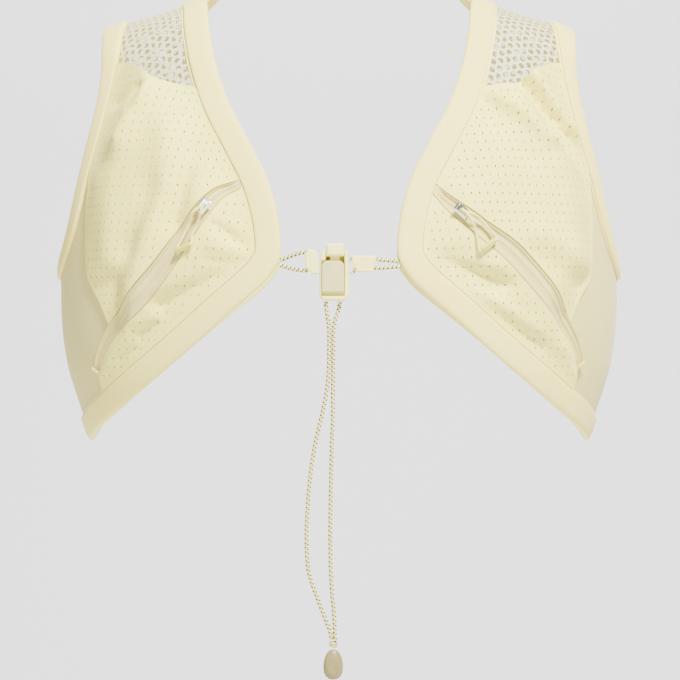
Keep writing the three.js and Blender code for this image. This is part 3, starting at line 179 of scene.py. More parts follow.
# Folds: from out, from down, to out, to down, how broad and how high
FOLDS = {
    "right": [
        (0.610, 0.200, 0.755, 0.335, 0.030, -1.0), (0.755, 0.335, 0.890, 0.430, 0.034, -0.9),
        (0.530, 0.230, 0.700, 0.370, 0.040, 0.6), (0.500, 0.260, 0.640, 0.370, 0.045, -0.6),
        (0.690, 0.550, 0.890, 0.630, 0.060, 0.5), (0.880, 0.640, 0.910, 0.780, 0.050, -0.5),
        (0.330, 0.610, 0.520, 0.650, 0.036, -1.1), (0.500, 0.720, 0.650, 0.780, 0.024, -0.6),
        (0.440, 0.670, 0.640, 0.740, 0.036, 0.4),
    ],
    "left": [
        (0.620, 0.440, 0.775, 0.660, 0.050, -0.9), (0.500, 0.370, 0.545, 0.500, 0.040, -0.6),
        (0.560, 0.330, 0.680, 0.600, 0.050, 0.6), (0.640, 0.225, 0.730, 0.330, 0.040, 0.8),
        (0.665, 0.225, 0.690, 0.265, 0.020, -0.7), (0.330, 0.560, 0.400, 0.530, 0.018, -0.6),
        (0.400, 0.645, 0.590, 0.690, 0.026, -0.9), (0.480, 0.705, 0.640, 0.755, 0.026, -0.9),
        (0.640, 0.800, 0.720, 0.830, 0.020, -0.6),
    ],
}

# Finer creases: out and down of both ends in millimetres as seen from the front, breadth, height
CREASES = {
    "right": [
        (112, 57, 134, 84, 3.2, -5.0), (134, 84, 160, 118, 3.8, -5.0), (119, 56, 142, 84, 5.0, 3.4),
        (142, 84, 165, 112, 5.0, 3.2), (90, 63, 128, 94, 3.4, 2.8), (128, 94, 164, 122, 3.8, 3.4),
        (95, 70, 126, 104, 4.0, -1.6), (66, 118, 80, 136, 5.0, 0.8), (120, 152, 158, 172, 7.0, 1.6),
        (118, 165, 152, 186, 6.0, -1.2), (160, 174, 166, 214, 5.0, -1.8), (54, 172, 62, 176, 2.2, -1.6),
        (62, 176, 100, 182, 3.4, -1.8), (60, 165, 92, 172, 3.0, 1.0), (98, 204, 122, 220, 2.2, -1.4),
        (92, 190, 140, 226, 3.2, 0.8), (140, 226, 150, 236, 2.0, -1.0),
    ],
    "left": [
        (113, 131, 126, 160, 7.0, -2.0), (126, 160, 142, 198, 8.0, -2.2), (90, 118, 98, 148, 5.0, -1.8),
        (98, 148, 112, 176, 6.0, -1.6), (104, 122, 118, 158, 6.0, 1.2), (117, 66, 133, 92, 4.0, 2.2),
        (124, 62, 138, 70, 3.0, -1.8), (131, 82, 136, 92, 3.0, -1.6), (140, 40, 148, 70, 4.0, 1.0),
        (54, 158, 70, 154, 1.6, -1.4), (52, 166, 76, 160, 1.8, 0.8), (56, 172, 78, 168, 1.6, -1.0),
        (70, 190, 106, 200, 2.2, -1.8), (86, 196, 120, 206, 2.4, 0.8), (88, 204, 118, 214, 2.2, -1.6),
        (118, 218, 134, 226, 2.0, -1.2), (148, 120, 160, 190, 6.0, 1.2),
    ],
}
NAPE_LOWER = [(0.395, -0.020), (0.220, -0.046), (0.000, -0.050)]
NAPE_UPPER = [(0.360, -0.046), (0.220, -0.088), (0.000, -0.102)]
NAPE_FORWARD = -0.035
NAPE_BACK = -0.300

# Elastic cord: out from the middle, down from the crest, and forward of it off the closure's plane
SIDE_CORDS = {
    "sternum_cord_left": [
        (-35.9, 167.6, EDGE_FORWARD), (-30, 165.4, 114), (-25, 163.6, 116), (-20.6, 163.0), (-16.9, 164.6),
        (-15.4, 168.6), (-16.9, 172.6), (-20.6, 174.1), (-25, 173.6, 116), (-30, 172.5, 114),
        (-36.7, 170.6, EDGE_FORWARD),
    ],
    "sternum_cord_upper": [
        (6.3, 167.4), (14, 167.2), (22.3, 167.2, 116.6), (29, 167.7, 114.6), (36.2, 168.2, EDGE_FORWARD),
    ],
    "sternum_cord_lower": [
        (7.1, 176.2), (9.5, 173.9), (13, 172.5), (20, 172.4, 116.8), (27, 172.3, 115),
        (37.4, 171.4, EDGE_FORWARD),
    ],
}
TAIL_ROUTES = {
    "tail_cord_left": [
        (-8.05, 192.9), (-7.6, 198), (-6.6, 204.1), (-6.0, 210.2), (-6.0, 219.4), (-6.1, 228.5),
        (-6.5, 237.7), (-7.4, 246.8), (-9.5, 257.8), (-11.9, 268.2), (-14.0, 277.3), (-16.2, 289.5),
        (-17.7, 301.7), (-18.8, 313.9), (-19.5, 326.1), (-19.8, 335.3), (-19.6, 344.4), (-18.7, 356.0),
        (-16.7, 363.6), (-13.8, 371.6), (-9.8, 382.3), (-6.6, 390.2), (-4.9, 395.7), (-4.6, 399.0),
    ],
    "tail_cord_right": [
        (0.6, 192.9), (-0.3, 198), (-2.3, 204.1), (-3.3, 210.2), (-3.4, 219.4), (-3.5, 228.5),
        (-3.6, 237.7), (-3.7, 246.8), (-3.7, 257.8), (-3.9, 268.2), (-4.3, 277.3), (-4.7, 295.6),
        (-5.1, 313.9), (-5.3, 332.2), (-5.2, 347.5), (-5.0, 356.6), (-4.3, 369.4), (-3.1, 382.3),
        (-2.7, 390.2), (-2.5, 395.7), (-2.4, 399.0),
    ],
}

scene = bpy.context.scene

# Camera in front of the crest, with the picture's width in the plane of the shoulders, in millimetres
CAMERA_BACK = 2400
PICTURE_WIDTH = 435.2
SENSOR = 36
camera = bpy.data.objects.new("camera", bpy.data.cameras.new("camera"))
scene.collection.objects.link(camera)
camera.location = (0.00064, -CAMERA_BACK * METRE, -0.2163)
camera.rotation_euler = (math.pi / 2, 0, 0)
camera.data.lens = SENSOR * CAMERA_BACK / PICTURE_WIDTH
camera.data.sensor_width = SENSOR
camera.data.clip_end = 60
scene.camera = camera


# Materials
def new_material(name):
    material = bpy.data.materials.new(name)
    material.use_nodes = True
    tree = material.node_tree
    return material, tree, tree.nodes["Principled BSDF"]


def add_node(tree, kind, **values):
    node = tree.nodes.new(kind)
    for key, value in values.items():
        node.inputs[key].default_value = value
    return node


def add_texture(tree, kind, **values):
    """A texture that is fixed to the object"""
    node = add_node(tree, kind, **values)
    coordinates = tree.nodes.new("ShaderNodeTexCoord")
    tree.links.new(coordinates.outputs["Object"], node.inputs["Vector"])
    return node


def add_math(tree, operation, *values):
    node = tree.nodes.new("ShaderNodeMath")
    node.operation = operation
    for socket, value in zip(node.inputs, values):
        if isinstance(value, (int, float)):
            socket.default_value = value
        else:
            tree.links.new(value, socket)
    return node.outputs[0]


def add_bump(tree, shader, height, strength, depth):
    node = add_node(tree, "ShaderNodeBump", Strength=strength, Distance=depth)
    tree.links.new(height, node.inputs["Height"])
    tree.links.new(node.outputs[0], shader.inputs["Normal"])


def mix_color(tree, factor, first, second):
    node = tree.nodes.new("ShaderNodeMix")
    node.data_type = "RGBA"
    tree.links.new(factor, node.inputs["Factor"])
    for socket, value in ((node.inputs[6], first), (node.inputs[7], second)):
        if isinstance(value, tuple):
            socket.default_value = (*value, 1)
        else:
            tree.links.new(value, socket)
    return node.outputs[2]


def ramp(tree, source, low, high, to_low=0.0, to_high=1.0):
    node = tree.nodes.new("ShaderNodeMapRange")
    for key, value in (("From Min", low), ("From Max", high), ("To Min", to_low), ("To Max", to_high)):
        node.inputs[key].default_value = value
    tree.links.new(source, node.inputs["Value"])
    return node.outputs[0]


def set_values(shader, **values):
    """Sets the shader's own inputs, with an underscore for each space in a name"""
    for key, value in values.items():
        shader.inputs[key.replace("_", " ")].default_value = value


def fabric(name, light, deep, grain, bump, sheen=0.12):
    """Cloth with broad changes of tone, fine specks and a knitted bump"""
    material, tree, shader = new_material(name)
    broad = add_texture(tree, "ShaderNodeTexNoise", Scale=14.0, Detail=3.0)
    fine = add_texture(tree, "ShaderNodeTexNoise", Scale=grain, Detail=2.0)
    knit = add_texture(tree, "ShaderNodeTexVoronoi", Scale=grain * 0.8)
    tone = mix_color(tree, ramp(tree, broad.outputs[0], 0.35, 0.7), light, deep)
    speck = ramp(tree, knit.outputs["Distance"], 0.0, 0.9)
    color = mix_color(tree, speck, tone, tuple(0.93 * c for c in light))
    tree.links.new(color, shader.inputs["Base Color"])
    set_values(shader, Roughness=0.85, Sheen_Weight=sheen, Sheen_Roughness=0.5, Specular_IOR_Level=0.3)
    height = add_math(tree, "ADD", fine.outputs[0], knit.outputs["Distance"])
    add_bump(tree, shader, height, bump, 0.0003)
    return material


def moulded(name, light, deep, roughness, subsurface=0.15, coat=0.0):
    """Moulded plastic with a cloudy tone, uneven gloss and a fine grain"""
    material, tree, shader = new_material(name)
    cloud = add_texture(tree, "ShaderNodeTexNoise", Scale=90.0, Detail=4.0)
    grain = add_texture(tree, "ShaderNodeTexNoise", Scale=2600.0, Detail=2.0)
    color = mix_color(tree, ramp(tree, cloud.outputs[0], 0.35, 0.7), light, deep)
    tree.links.new(color, shader.inputs["Base Color"])
    set_values(shader, Subsurface_Weight=subsurface, Subsurface_Radius=(0.002, 0.0018, 0.001))
    set_values(shader, Coat_Weight=coat)
    rough = ramp(tree, cloud.outputs[0], 0.0, 1.0, roughness - 0.06, roughness + 0.08)
    tree.links.new(rough, shader.inputs["Roughness"])
    add_bump(tree, shader, grain.outputs[0], 0.12, 0.0001)
    return material


def braided(name, light, fleck, turns, share):
    """Flecks that wind both ways round a cord, from its map of length and turn"""
    material, tree, shader = new_material(name)
    uv = tree.nodes.new("ShaderNodeUVMap")
    uv.uv_map = "along"
    split = tree.nodes.new("ShaderNodeSeparateXYZ")
    tree.links.new(uv.outputs[0], split.inputs[0])
    waves = []
    for direction in (1, -1):
        total = add_math(tree, "MULTIPLY_ADD", split.outputs["Y"], direction * turns, split.outputs["X"])
        waves.append(add_math(tree, "FRACT", total))
    dark = add_math(tree, "LESS_THAN", waves[0], share)
    crossed = add_math(tree, "LESS_THAN", waves[1], 0.8)
    both = add_math(tree, "MULTIPLY", dark, crossed)
    tree.links.new(mix_color(tree, both, light, fleck), shader.inputs["Base Color"])
    set_values(shader, Roughness=0.8, Sheen_Weight=0.2)
    add_bump(tree, shader, add_math(tree, "PINGPONG", waves[0], 0.5), 0.6, 0.0003)
    return material


def metal(name, color, roughness):
    """Polished metal with uneven gloss"""
    material, tree, shader = new_material(name)
    cloud = add_texture(tree, "ShaderNodeTexNoise", Scale=700.0, Detail=3.0)
    shade = mix_color(tree, ramp(tree, cloud.outputs[0], 0.3, 0.7), color, tuple(0.8 * c for c in color))
    tree.links.new(shade, shader.inputs["Base Color"])
    set_values(shader, Metallic=1)
    rough = ramp(tree, cloud.outputs[0], 0.0, 1.0, roughness, roughness + 0.12)
    tree.links.new(rough, shader.inputs["Roughness"])
    return material


cloth_look = fabric("perforated_cloth", (0.90, 0.81, 0.19), (0.87, 0.77, 0.15), 1500.0, 0.35)
# Net colour: darker and greyer than the cloth, as painted shade, so the eyelets over it and its open cells
# read dark
net_painted_shade_look = fabric("open_net_painted_shade", (0.66, 0.60, 0.31), (0.60, 0.54, 0.25), 1800.0, 0.4)
band_look = fabric("smooth_band", (0.90, 0.77, 0.20), (0.88, 0.74, 0.17), 2400.0, 0.2, sheen=0.15)
# Side cloth colour: darker than the front cloth, as painted shade for the side panels that turn away from the
# light; the zip garages use it too
side_painted_shade_look = fabric("smooth_cloth_painted_shade", (0.68, 0.59, 0.19), (0.62, 0.52, 0.14), 2200.0, 0.2, sheen=0.15)
thread_look = fabric("sewing_thread", (0.86, 0.74, 0.22), (0.80, 0.68, 0.16), 3000.0, 0.3)
plastic_look = moulded("moulded_cream", (0.94, 0.84, 0.28), (0.92, 0.81, 0.22), 0.38)
plate_look = moulded("clouded_plate", (0.62, 0.57, 0.24), (0.56, 0.50, 0.19), 0.30, 0.3, 0.3)
sleeve_look = moulded("soft_sleeve", (0.62, 0.57, 0.07), (0.54, 0.48, 0.05), 0.55, 0.2)
cord_look = braided("elastic_braid", (0.84, 0.75, 0.22), (0.022, 0.017, 0.003), 1.0, 0.56)
pull_look = braided("fine_braid", (0.90, 0.82, 0.25), (0.55, 0.48, 0.10), 2.0, 0.4)
silver_look = metal("polished_slider", (0.86, 0.86, 0.86), 0.14)
end_look = moulded("soft_moulded_end", (0.25, 0.20, 0.07), (0.20, 0.155, 0.05), 0.42, 0.25)


# Smooth interpolation and the body surface
def monotone(column):
    """A column of the body's table as a smooth function of the drop, without overshoot"""
    keys = np.array([row[0] for row in BODY])
    values = np.array([row[column] for row in BODY])
    slopes = np.diff(values) / np.diff(keys)
    tangents = np.zeros(len(keys))
    tangents[0] = slopes[0]
    tangents[-1] = slopes[-1]
    for i in range(1, len(keys) - 1):
        product = slopes[i - 1] * slopes[i]
        tangents[i] = 0 if product <= 0 else 2 * product / (slopes[i - 1] + slopes[i])

    def at(x):
        x = np.asarray(x, float)
        i = np.clip(np.searchsorted(keys, x, side="left") - 1, 0, len(keys) - 2)
        span = keys[i + 1] - keys[i]
        t = np.clip((x - keys[i]) / span, 0, 1)
        h01 = t * t * (3 - 2 * t)
        h10 = t * (1 - t) * (1 - t)
        h11 = t * t * (t - 1)
        level = values[i] * (1 - h01) + values[i + 1] * h01
        return level + span * (h10 * tangents[i] + h11 * tangents[i + 1])

    return at


wide_at = monotone(1)
deep_at = monotone(2)


def smoothstep(t):
    c = np.clip(t, 0, 1)
    return c * c * (3 - 2 * c)


def body_error(p):
    drop = -p[:, 2] / VEST_DROP
    depth = np.where(p[:, 1] < 0, FRONT_DEPTH, BACK_DEPTH)
    return np.hypot(p[:, 0] / (wide_at(drop) * HALF_WIDTH), p[:, 1] / (deep_at(drop) * depth)) - 1


def gradient(p):
    step = 0.05
    result = np.zeros_like(p)
    for k in range(3):
        shift = np.zeros(3)
        shift[k] = step
        result[:, k] = (body_error(p + shift) - body_error(p - shift)) / (2 * step)
    return result


def to_body(points):
    """Moves points along their normals onto the body"""
    p = np.array(points, float).reshape(-1, 3)
    for _ in range(8):
        g = gradient(p)
        p = p - g * (body_error(p) / (g * g).sum(1))[:, None]
    return p


def normals(p):
    g = gradient(p)
    return g / np.linalg.norm(g, axis=1)[:, None]


def place(row):
    """The point of the body that a row of two shares names"""
    if "forward" not in row:
        wide = float(wide_at(row["down"]))
        deep = float(deep_at(row["down"]))
        share = min(1, row["out"] / wide)
        return np.array([row["out"] * HALF_WIDTH, -deep * FRONT_DEPTH * math.sqrt(1 - share * share),
                         -row["down"] * VEST_DROP])
    y = -row["forward"] * FRONT_DEPTH
    if "out" not in row:
        wide = float(wide_at(row["down"]))
        share = min(1, abs(row["forward"]) / float(deep_at(row["down"])))
        return np.array([wide * HALF_WIDTH * math.sqrt(1 - share * share), y, -row["down"] * VEST_DROP])
    x = row["out"] * HALF_WIDTH
    low, high = -0.6 * VEST_DROP, 0.1 * VEST_DROP
    for _ in range(HALVINGS):
        middle = (low + high) / 2
        if body_error(np.array([[x, y, middle]]))[0] < 0:
            low = middle
        else:
            high = middle
    return np.array([x, y, (low + high) / 2])


def lengths(points):
    return np.concatenate([[0], np.cumsum(np.linalg.norm(np.diff(points, axis=0), axis=1))])


def resample(points, count):
    points = np.asarray(points, float)
    along = lengths(points)
    at = np.linspace(0, along[-1], count + 1)
    return np.stack([np.interp(at, along, points[:, k]) for k in range(points.shape[1])], axis=1)


def smooth_curve(points, count, closed=False):
    """A curve through the points, with each step weighted by the root of its length"""
    points = np.asarray(points, float)
    total = len(points)
    result = []
    for i in range(count + 1):
        p = (total - (0 if closed else 1)) * i / count
        at = int(math.floor(p))
        weight = p - at
        if closed:
            at += 0 if at > 0 else total
        elif weight == 0 and at == total - 1:
            at = total - 2
            weight = 1
        if closed or at > 0:
            p0 = points[(at - 1) % total]
        else:
            p0 = 2 * points[0] - points[1]
        p1 = points[at % total]
        p2 = points[(at + 1) % total]
        if closed or at + 2 < total:
            p3 = points[(at + 2) % total]
        else:
            p3 = 2 * points[-1] - points[-2]
        dt0 = ((p0 - p1) ** 2).sum() ** 0.25
        dt1 = ((p1 - p2) ** 2).sum() ** 0.25
        dt2 = ((p2 - p3) ** 2).sum() ** 0.25
        dt1 = dt1 if dt1 > 1e-4 else 1.0
        dt0 = dt0 if dt0 > 1e-4 else dt1
        dt2 = dt2 if dt2 > 1e-4 else dt1
        t1 = ((p1 - p0) / dt0 - (p2 - p0) / (dt0 + dt1) + (p2 - p1) / dt1) * dt1
        t2 = ((p2 - p1) / dt1 - (p3 - p1) / (dt1 + dt2) + (p3 - p2) / dt2) * dt1
        c2 = -3 * p1 + 3 * p2 - 2 * t1 - t2
        c3 = 2 * p1 - 2 * p2 + t1 + t2
        result.append(p1 + t1 * weight + c2 * weight ** 2 + c3 * weight ** 3)
    return np.array(result)


def through_points(points, closed=False):
    return resample(to_body(smooth_curve(points, CURVE_STEPS, closed)), CURVE_STEPS)


def flip_depth(points):
    p = np.array(points, float).reshape(-1, 3)
    spread = 1 - BACK_SPREAD * p[:, 1] / FRONT_DEPTH
    return to_body(np.stack([p[:, 0] * spread, -p[:, 1] * BACK_DEPTH / FRONT_DEPTH, p[:, 2]], axis=1))


def unit(v):
    return v / np.maximum(np.linalg.norm(v, axis=-1, keepdims=True), 1e-12)


def offset_curve(points, distance):
    """The curve moved sideways on the body, by one distance or by one that changes along it"""
    before = np.vstack([points[:1], points[:-1]])
    after = np.vstack([points[1:], points[-1:]])
    inward = unit(np.cross(normals(points), unit(after - before)))
    share = np.linspace(0, 1, len(points))
    shift = np.full(len(points), float(distance)) if np.isscalar(distance) else distance(share)
    moved = points.copy()
    for _ in range(3):
        moved = to_body(moved + inward * (shift / 3)[:, None])
    return moved


def nearest(points, target):
    return int(np.argmin(((points - target) ** 2).sum(1)))


def stretch(points, start, end):
    a = nearest(points, start)
    b = nearest(points, end)
    return points[a:b + 1] if a <= b else points[b:a + 1][::-1]


def to_line(p, line):
    """Least distance from each point to a line of points"""
    result = np.full(len(p), np.inf)
    a = line[:-1]
    d = line[1:] - a
    dd = np.maximum((d * d).sum(1), 1e-12)
    for start in range(0, len(p), 2000):
        q = p[start:start + 2000]
        w = q[:, None, :] - a[None]
        t = np.clip((w * d[None]).sum(2) / dd[None], 0, 1)
        gap = w - t[:, :, None] * d[None]
        result[start:start + 2000] = np.sqrt((gap ** 2).sum(2).min(1))
    return result


# Outlines, as in the solids
def front_and_back(front):
    front = np.array(front)
    return np.vstack([front, flip_depth(front[::-1][1:])])


neck_points = np.array([place(r) for r in NECK_EDGE])
neck_edge = through_points(np.vstack([flip_depth(neck_points[1:])[::-1], neck_points]))
hem_edge = through_points(front_and_back([place(r) for r in HEM_EDGE]))
arm_edge = through_points(front_and_back([place(r) for r in ARM_EDGE])[:-1], True)


def beside_corner(edge, neighbour, distance):
    """An edge moved inwards as far as the line that halves its last corner"""
    corner = edge[-1]
    normal = normals(corner[None])[0]
    along = unit(corner - edge[-5])
    onward = unit(neighbour[4] - corner)
    first = unit(np.cross(normal, along))
    halving = unit(np.cross(normal, along + onward))
    reach = 1 / halving.dot(first)
    taken = abs(distance) * math.sqrt(max(0, reach * reach - 1))
    inner = to_body((corner + halving * distance * reach)[None])
    kept = np.linalg.norm(edge - corner, axis=1) > taken + 1
    return np.vstack([offset_curve(edge, distance)[kept], inner])


def inside_band(edge, other, distance):
    middle = len(edge) // 2
    ending = beside_corner(edge[middle:], other, distance)
    starting = beside_corner(edge[:middle + 1][::-1], other[::-1], -distance)
    return resample(np.vstack([starting[::-1], ending[1:]]), CURVE_STEPS)


def offset_loop(points, distance):
    opened = np.vstack([points[-2:-1], points, points[1:2]])
    return offset_curve(opened, distance)[1:-1]


neck_seam = inside_band(neck_edge, hem_edge, NECK_BAND)
hem_seam = inside_band(hem_edge, neck_edge, HEM_BAND)
neck_inner = inside_band(neck_edge, hem_edge, NECK_BAND + SEAM_GAP)
hem_inner = inside_band(hem_edge, neck_edge, HEM_BAND + SEAM_GAP)
neck_tuck = inside_band(neck_edge, hem_edge, NECK_BAND - TUCK)
hem_tuck = inside_band(hem_edge, neck_edge, HEM_BAND - TUCK)


def arm_band(t):
    """Width of the arm band, from the crest down the front and up the back again"""
    below = smoothstep((np.minimum(t, 1 - t) - ARM_NARROWS_FROM) / ARM_NARROWS_OVER)
    return ARM_BAND + (ARM_BAND_LOW - ARM_BAND) * below


arm_seam = offset_loop(arm_edge, lambda t: -arm_band(t))
arm_inner = offset_loop(arm_edge, lambda t: -arm_band(t) - SEAM_GAP)
arm_tuck = offset_loop(arm_edge, lambda t: TUCK - arm_band(t))


def ordered_from(points, start):
    near = np.linalg.norm(points[0] - start) <= np.linalg.norm(points[-1] - start)
    return points if near else points[::-1]


def in_one_run(points):
    first = 1 if np.linalg.norm(points[0] - points[1]) > 2 * TUCK else 0
    last = len(points) - (1 if np.linalg.norm(points[-1] - points[-2]) > 2 * TUCK else 0)
    return points[first:last]


neck_at_crest = place(dict(out=0.56, forward=0))


def half_loop(sign, neck_curve, hem_curve, arm_curve):
    def half(curve):
        return curve[sign * curve[:, 1] > SEAM_GAP / 2]

    def from_crest(points):
        first = points[0].copy()
        first[1] = sign * SEAM_GAP / 2
        return np.vstack([to_body(first[None]), points[1:]])

    neck = ordered_from(half(neck_curve), neck_at_crest)
    hem = ordered_from(half(hem_curve), neck[-1])
    arm_half = in_one_run(half(arm_curve))
    arm = ordered_from(arm_half, arm_half[np.argmax(arm_half[:, 2])])
    return dict(neck=from_crest(neck), hem=hem, arm=from_crest(arm))


front_loop = half_loop(-1, neck_inner, hem_inner, arm_inner)
net_front = half_loop(-1, neck_tuck, hem_tuck, arm_tuck)
net_back = half_loop(1, neck_tuck, hem_tuck, arm_tuck)
net_seams = dict(
    front=through_points([place(r) for r in NET_SEAM["front"]]),
    back=through_points(flip_depth([place(r) for r in NET_SEAM["back"]])),
)


def seam_between(seam, arm, hem):
    start = arm[nearest(arm, seam[0])]
    end = hem[nearest(hem, seam[-1])]
    keep = (np.linalg.norm(seam - start, axis=1) > TUCK) & (np.linalg.norm(seam - end, axis=1) > TUCK)
    keep &= seam[:, 2] < start[2]
    return np.vstack([start, seam[keep], end])


def straight_on_body(a, b, count=24):
    t = np.linspace(0, 1, count + 1)[:, None]
    return to_body(a * (1 - t) + b * t)


mouth_line = through_points([place(r) for r in MOUTH])


def from_neck_band(points):
    kept = points[to_line(points, neck_edge) > NECK_BAND + 2 * SEAM_GAP]
    return np.vstack([neck_inner[nearest(neck_inner, kept[0])], kept])


def side_layout(side):
    lip = through_points([place(r) for r in ZIP_LIP[side]])
    lip = np.vstack([neck_inner[nearest(neck_inner, lip[0])], lip])
    curve = resample(lip, CURVE_STEPS // 2)
    seam_start = front_loop["arm"][nearest(front_loop["arm"], place(SIDE_SEAM[0]))]
    meet = nearest(curve, place(SEAM_MEETS_ZIP))
    seam = through_points([seam_start, *[place(r) for r in SIDE_SEAM[1:]], curve[meet]])
    end = curve[-1]
    foot = front_loop["hem"][nearest(front_loop["hem"], to_body((end + np.array([-3, 0, -16]))[None])[0])]
    outer = np.vstack([seam, curve[meet + 1:], straight_on_body(end, foot, ENDING_STEPS)[1:]])

    def width(t):
        return GARAGE_END_WIDTH + (GARAGE_WIDTH - GARAGE_END_WIDTH) * np.sin(np.pi * t).clip(0) ** 0.8

    arm = front_loop["arm"]
    between = arm[nearest(arm, mouth_line[-1]):nearest(arm, seam_start)]
    return dict(
        side=side, lip=curve, meet=meet, seam=seam, seam_start=seam_start, foot=foot, outer=outer,
        garage_top=from_neck_band(offset_curve(curve, -SEAM_GAP)),
        garage_foot=from_neck_band(offset_curve(curve, lambda t: -SEAM_GAP - width(t))),
        panel_top=from_neck_band(offset_curve(curve, lambda t: -2 * SEAM_GAP - width(t))),
        rims=[front_loop["neck"], front_loop["hem"], resample(outer, RIM_STEPS), between],
    )



def ridge_height(p, rows, past_end):
    """Sum of rounded ridges: out and down of both ends, breadth and height, faded out past each end"""
    total = np.zeros(len(p))
    for ax, az, bx, bz, broad, high in rows:
        length = math.hypot(bx - ax, bz - az)
        along = ((p[:, 0] - ax) * (bx - ax) + (-p[:, 2] - az) * (bz - az)) / length
        across = ((p[:, 0] - ax) * (bz - az) - (-p[:, 2] - az) * (bx - ax)) / length
        past = np.maximum(0, np.maximum(-along, along - length))
        total += high * np.exp(-((across / broad) ** 2) - (past / (past_end * broad)) ** 2)
    return total


def folds_in_millimetres(side):
    return [(from_out * HALF_WIDTH, from_down * VEST_DROP, to_out * HALF_WIDTH, to_down * VEST_DROP,
             wide * HALF_WIDTH, high * FOLD_HEIGHT)
            for from_out, from_down, to_out, to_down, wide, high in FOLDS[side]]


def pocket_lift(p, layout):
    """Height of the pocket's cloth over the body: its bulge, folds and creases, which fade at its seams"""
    side = layout["side"]
    distance = np.min([to_line(p, rim) for rim in layout["rims"]], axis=0)
    bulge = POCKET_BULGE * smoothstep(distance / POCKET_ROUNDING)
    folds = ridge_height(p, folds_in_millimetres(side), 1.5) * smoothstep(distance / FOLDS_FADE)
    fine = ridge_height(p, CREASES[side], 1.4) * smoothstep(distance / CREASES_FADE)
    return np.maximum(POCKET_LOW, POCKET_LOW + bulge + folds + fine)


# Flat maps: the front unrolled round the body, and each strap unrolled from its crest
angle_table = np.linspace(0, math.pi, 2000)
ring = np.stack([0.97 * HALF_WIDTH * np.sin(angle_table), 0.9 * FRONT_DEPTH * np.cos(angle_table)], axis=1)
ring_along = lengths(ring)
drop_table = np.linspace(-0.02, 1.08, 1200)
rise = np.stack([0.75 * FRONT_DEPTH * deep_at(drop_table), drop_table * VEST_DROP], axis=1)
rise_along = lengths(rise)


def front_to_flat(p):
    drop = -p[:, 2] / VEST_DROP
    angle = np.arctan2(p[:, 0] / (wide_at(drop) * HALF_WIDTH), -p[:, 1] / (deep_at(drop) * FRONT_DEPTH))
    return np.stack([np.interp(angle, angle_table, ring_along),
                     np.interp(drop, drop_table, rise_along)], axis=1)


def front_from_flat(q):
    angle = np.interp(q[:, 0], ring_along, angle_table)
    drop = np.interp(q[:, 1], rise_along, drop_table)
    depth = np.where(np.cos(angle) > 0, FRONT_DEPTH, BACK_DEPTH)
    return np.stack([wide_at(drop) * HALF_WIDTH * np.sin(angle), -deep_at(drop) * depth * np.cos(angle),
                     -drop * VEST_DROP], axis=1)


STRAP_CENTRE = -100
STRAP_MIDDLE = 110
STRAP_REACH = 260
STRAP_TURN = math.radians(172)


def strap_point(x, turn):
    low = np.zeros(len(x))
    high = np.full(len(x), float(STRAP_REACH))

    def at(reach):
        return np.stack([x, -reach * np.sin(turn), STRAP_CENTRE + reach * np.cos(turn)], axis=1)

    for _ in range(HALVINGS):
        middle = (low + high) / 2
        inside = body_error(at(middle)) < 0
        low = np.where(inside, middle, low)
        high = np.where(inside, high, middle)
    return at((low + high) / 2)


turn_table = np.linspace(-STRAP_TURN, STRAP_TURN, 1400)
strap_line = strap_point(np.full(len(turn_table), float(STRAP_MIDDLE)), turn_table)
strap_along = lengths(strap_line)
strap_along -= np.interp(0, turn_table, strap_along)


def strap_to_flat(p):
    turn = np.arctan2(-p[:, 1], p[:, 2] - STRAP_CENTRE)
    return np.stack([p[:, 0], np.interp(turn, turn_table, strap_along)], axis=1)


def strap_from_flat(q):
    return strap_point(q[:, 0], np.interp(q[:, 1], strap_along, turn_table))


def inside_polygon(p, polygon):
    result = np.zeros(len(p), bool)
    ax, ay = polygon[:, 0], polygon[:, 1]
    bx, by = np.roll(ax, -1), np.roll(ay, -1)
    for start in range(0, len(p), 4000):
        x = p[start:start + 4000, 0][:, None]
        y = p[start:start + 4000, 1][:, None]
        crosses = (ay[None] > y) != (by[None] > y)
        with np.errstate(divide="ignore", invalid="ignore"):
            at = (bx - ax)[None] * (y - ay[None]) / (by - ay)[None] + ax[None]
        result[start:start + 4000] = (crosses & (x < at)).sum(1) % 2 == 1
    return result


# Meshes
def make_object(name, verts, faces, material, smooth_angle=0.7):
    mesh = bpy.data.meshes.new(name)
    mesh.from_pydata((np.asarray(verts) * METRE).tolist(), [], faces)
    mesh.validate()
    mesh.polygons.foreach_set("use_smooth", [True] * len(mesh.polygons))
    mesh.set_sharp_from_angle(angle=smooth_angle)
    mesh.materials.append(material)
    obj = bpy.data.objects.new(name, mesh)
    scene.collection.objects.link(obj)
    return obj


def mirrored(verts, faces, mirror):
    verts = np.array(verts)
    verts[:, 0] *= mirror
    return verts, [tuple(reversed(face)) for face in faces] if mirror < 0 else faces


def sheet_object(name, inner, outer, triangles, mirror, material):
    """Two skins and the walls between them"""
    count = len(inner)
    tri = np.asarray(triangles)
    directed = np.vstack([tri[:, [0, 1]], tri[:, [1, 2]], tri[:, [2, 0]]])
    keys = set(map(tuple, directed.tolist()))
    rim = [(a, b) for a, b in directed.tolist() if (b, a) not in keys]
    faces = [(a + count, b + count, c + count) for a, b, c in tri.tolist()]
    faces += [(c, b, a) for a, b, c in tri.tolist()]
    faces += [(a, b, b + count, a + count) for a, b in rim]
    verts, faces = mirrored(np.vstack([inner, outer]), faces, mirror)
    return make_object(name, verts, faces, material)


def oriented(outer, triangles, normal):
    tri = np.asarray(triangles)
    a, b, c = outer[tri[:, 0]], outer[tri[:, 1]], outer[tri[:, 2]]
    facing = (np.cross(b - a, c - a) * normal[tri[:, 0]]).sum(1)
    tri[facing < 0] = tri[facing < 0][:, ::-1]
    return tri


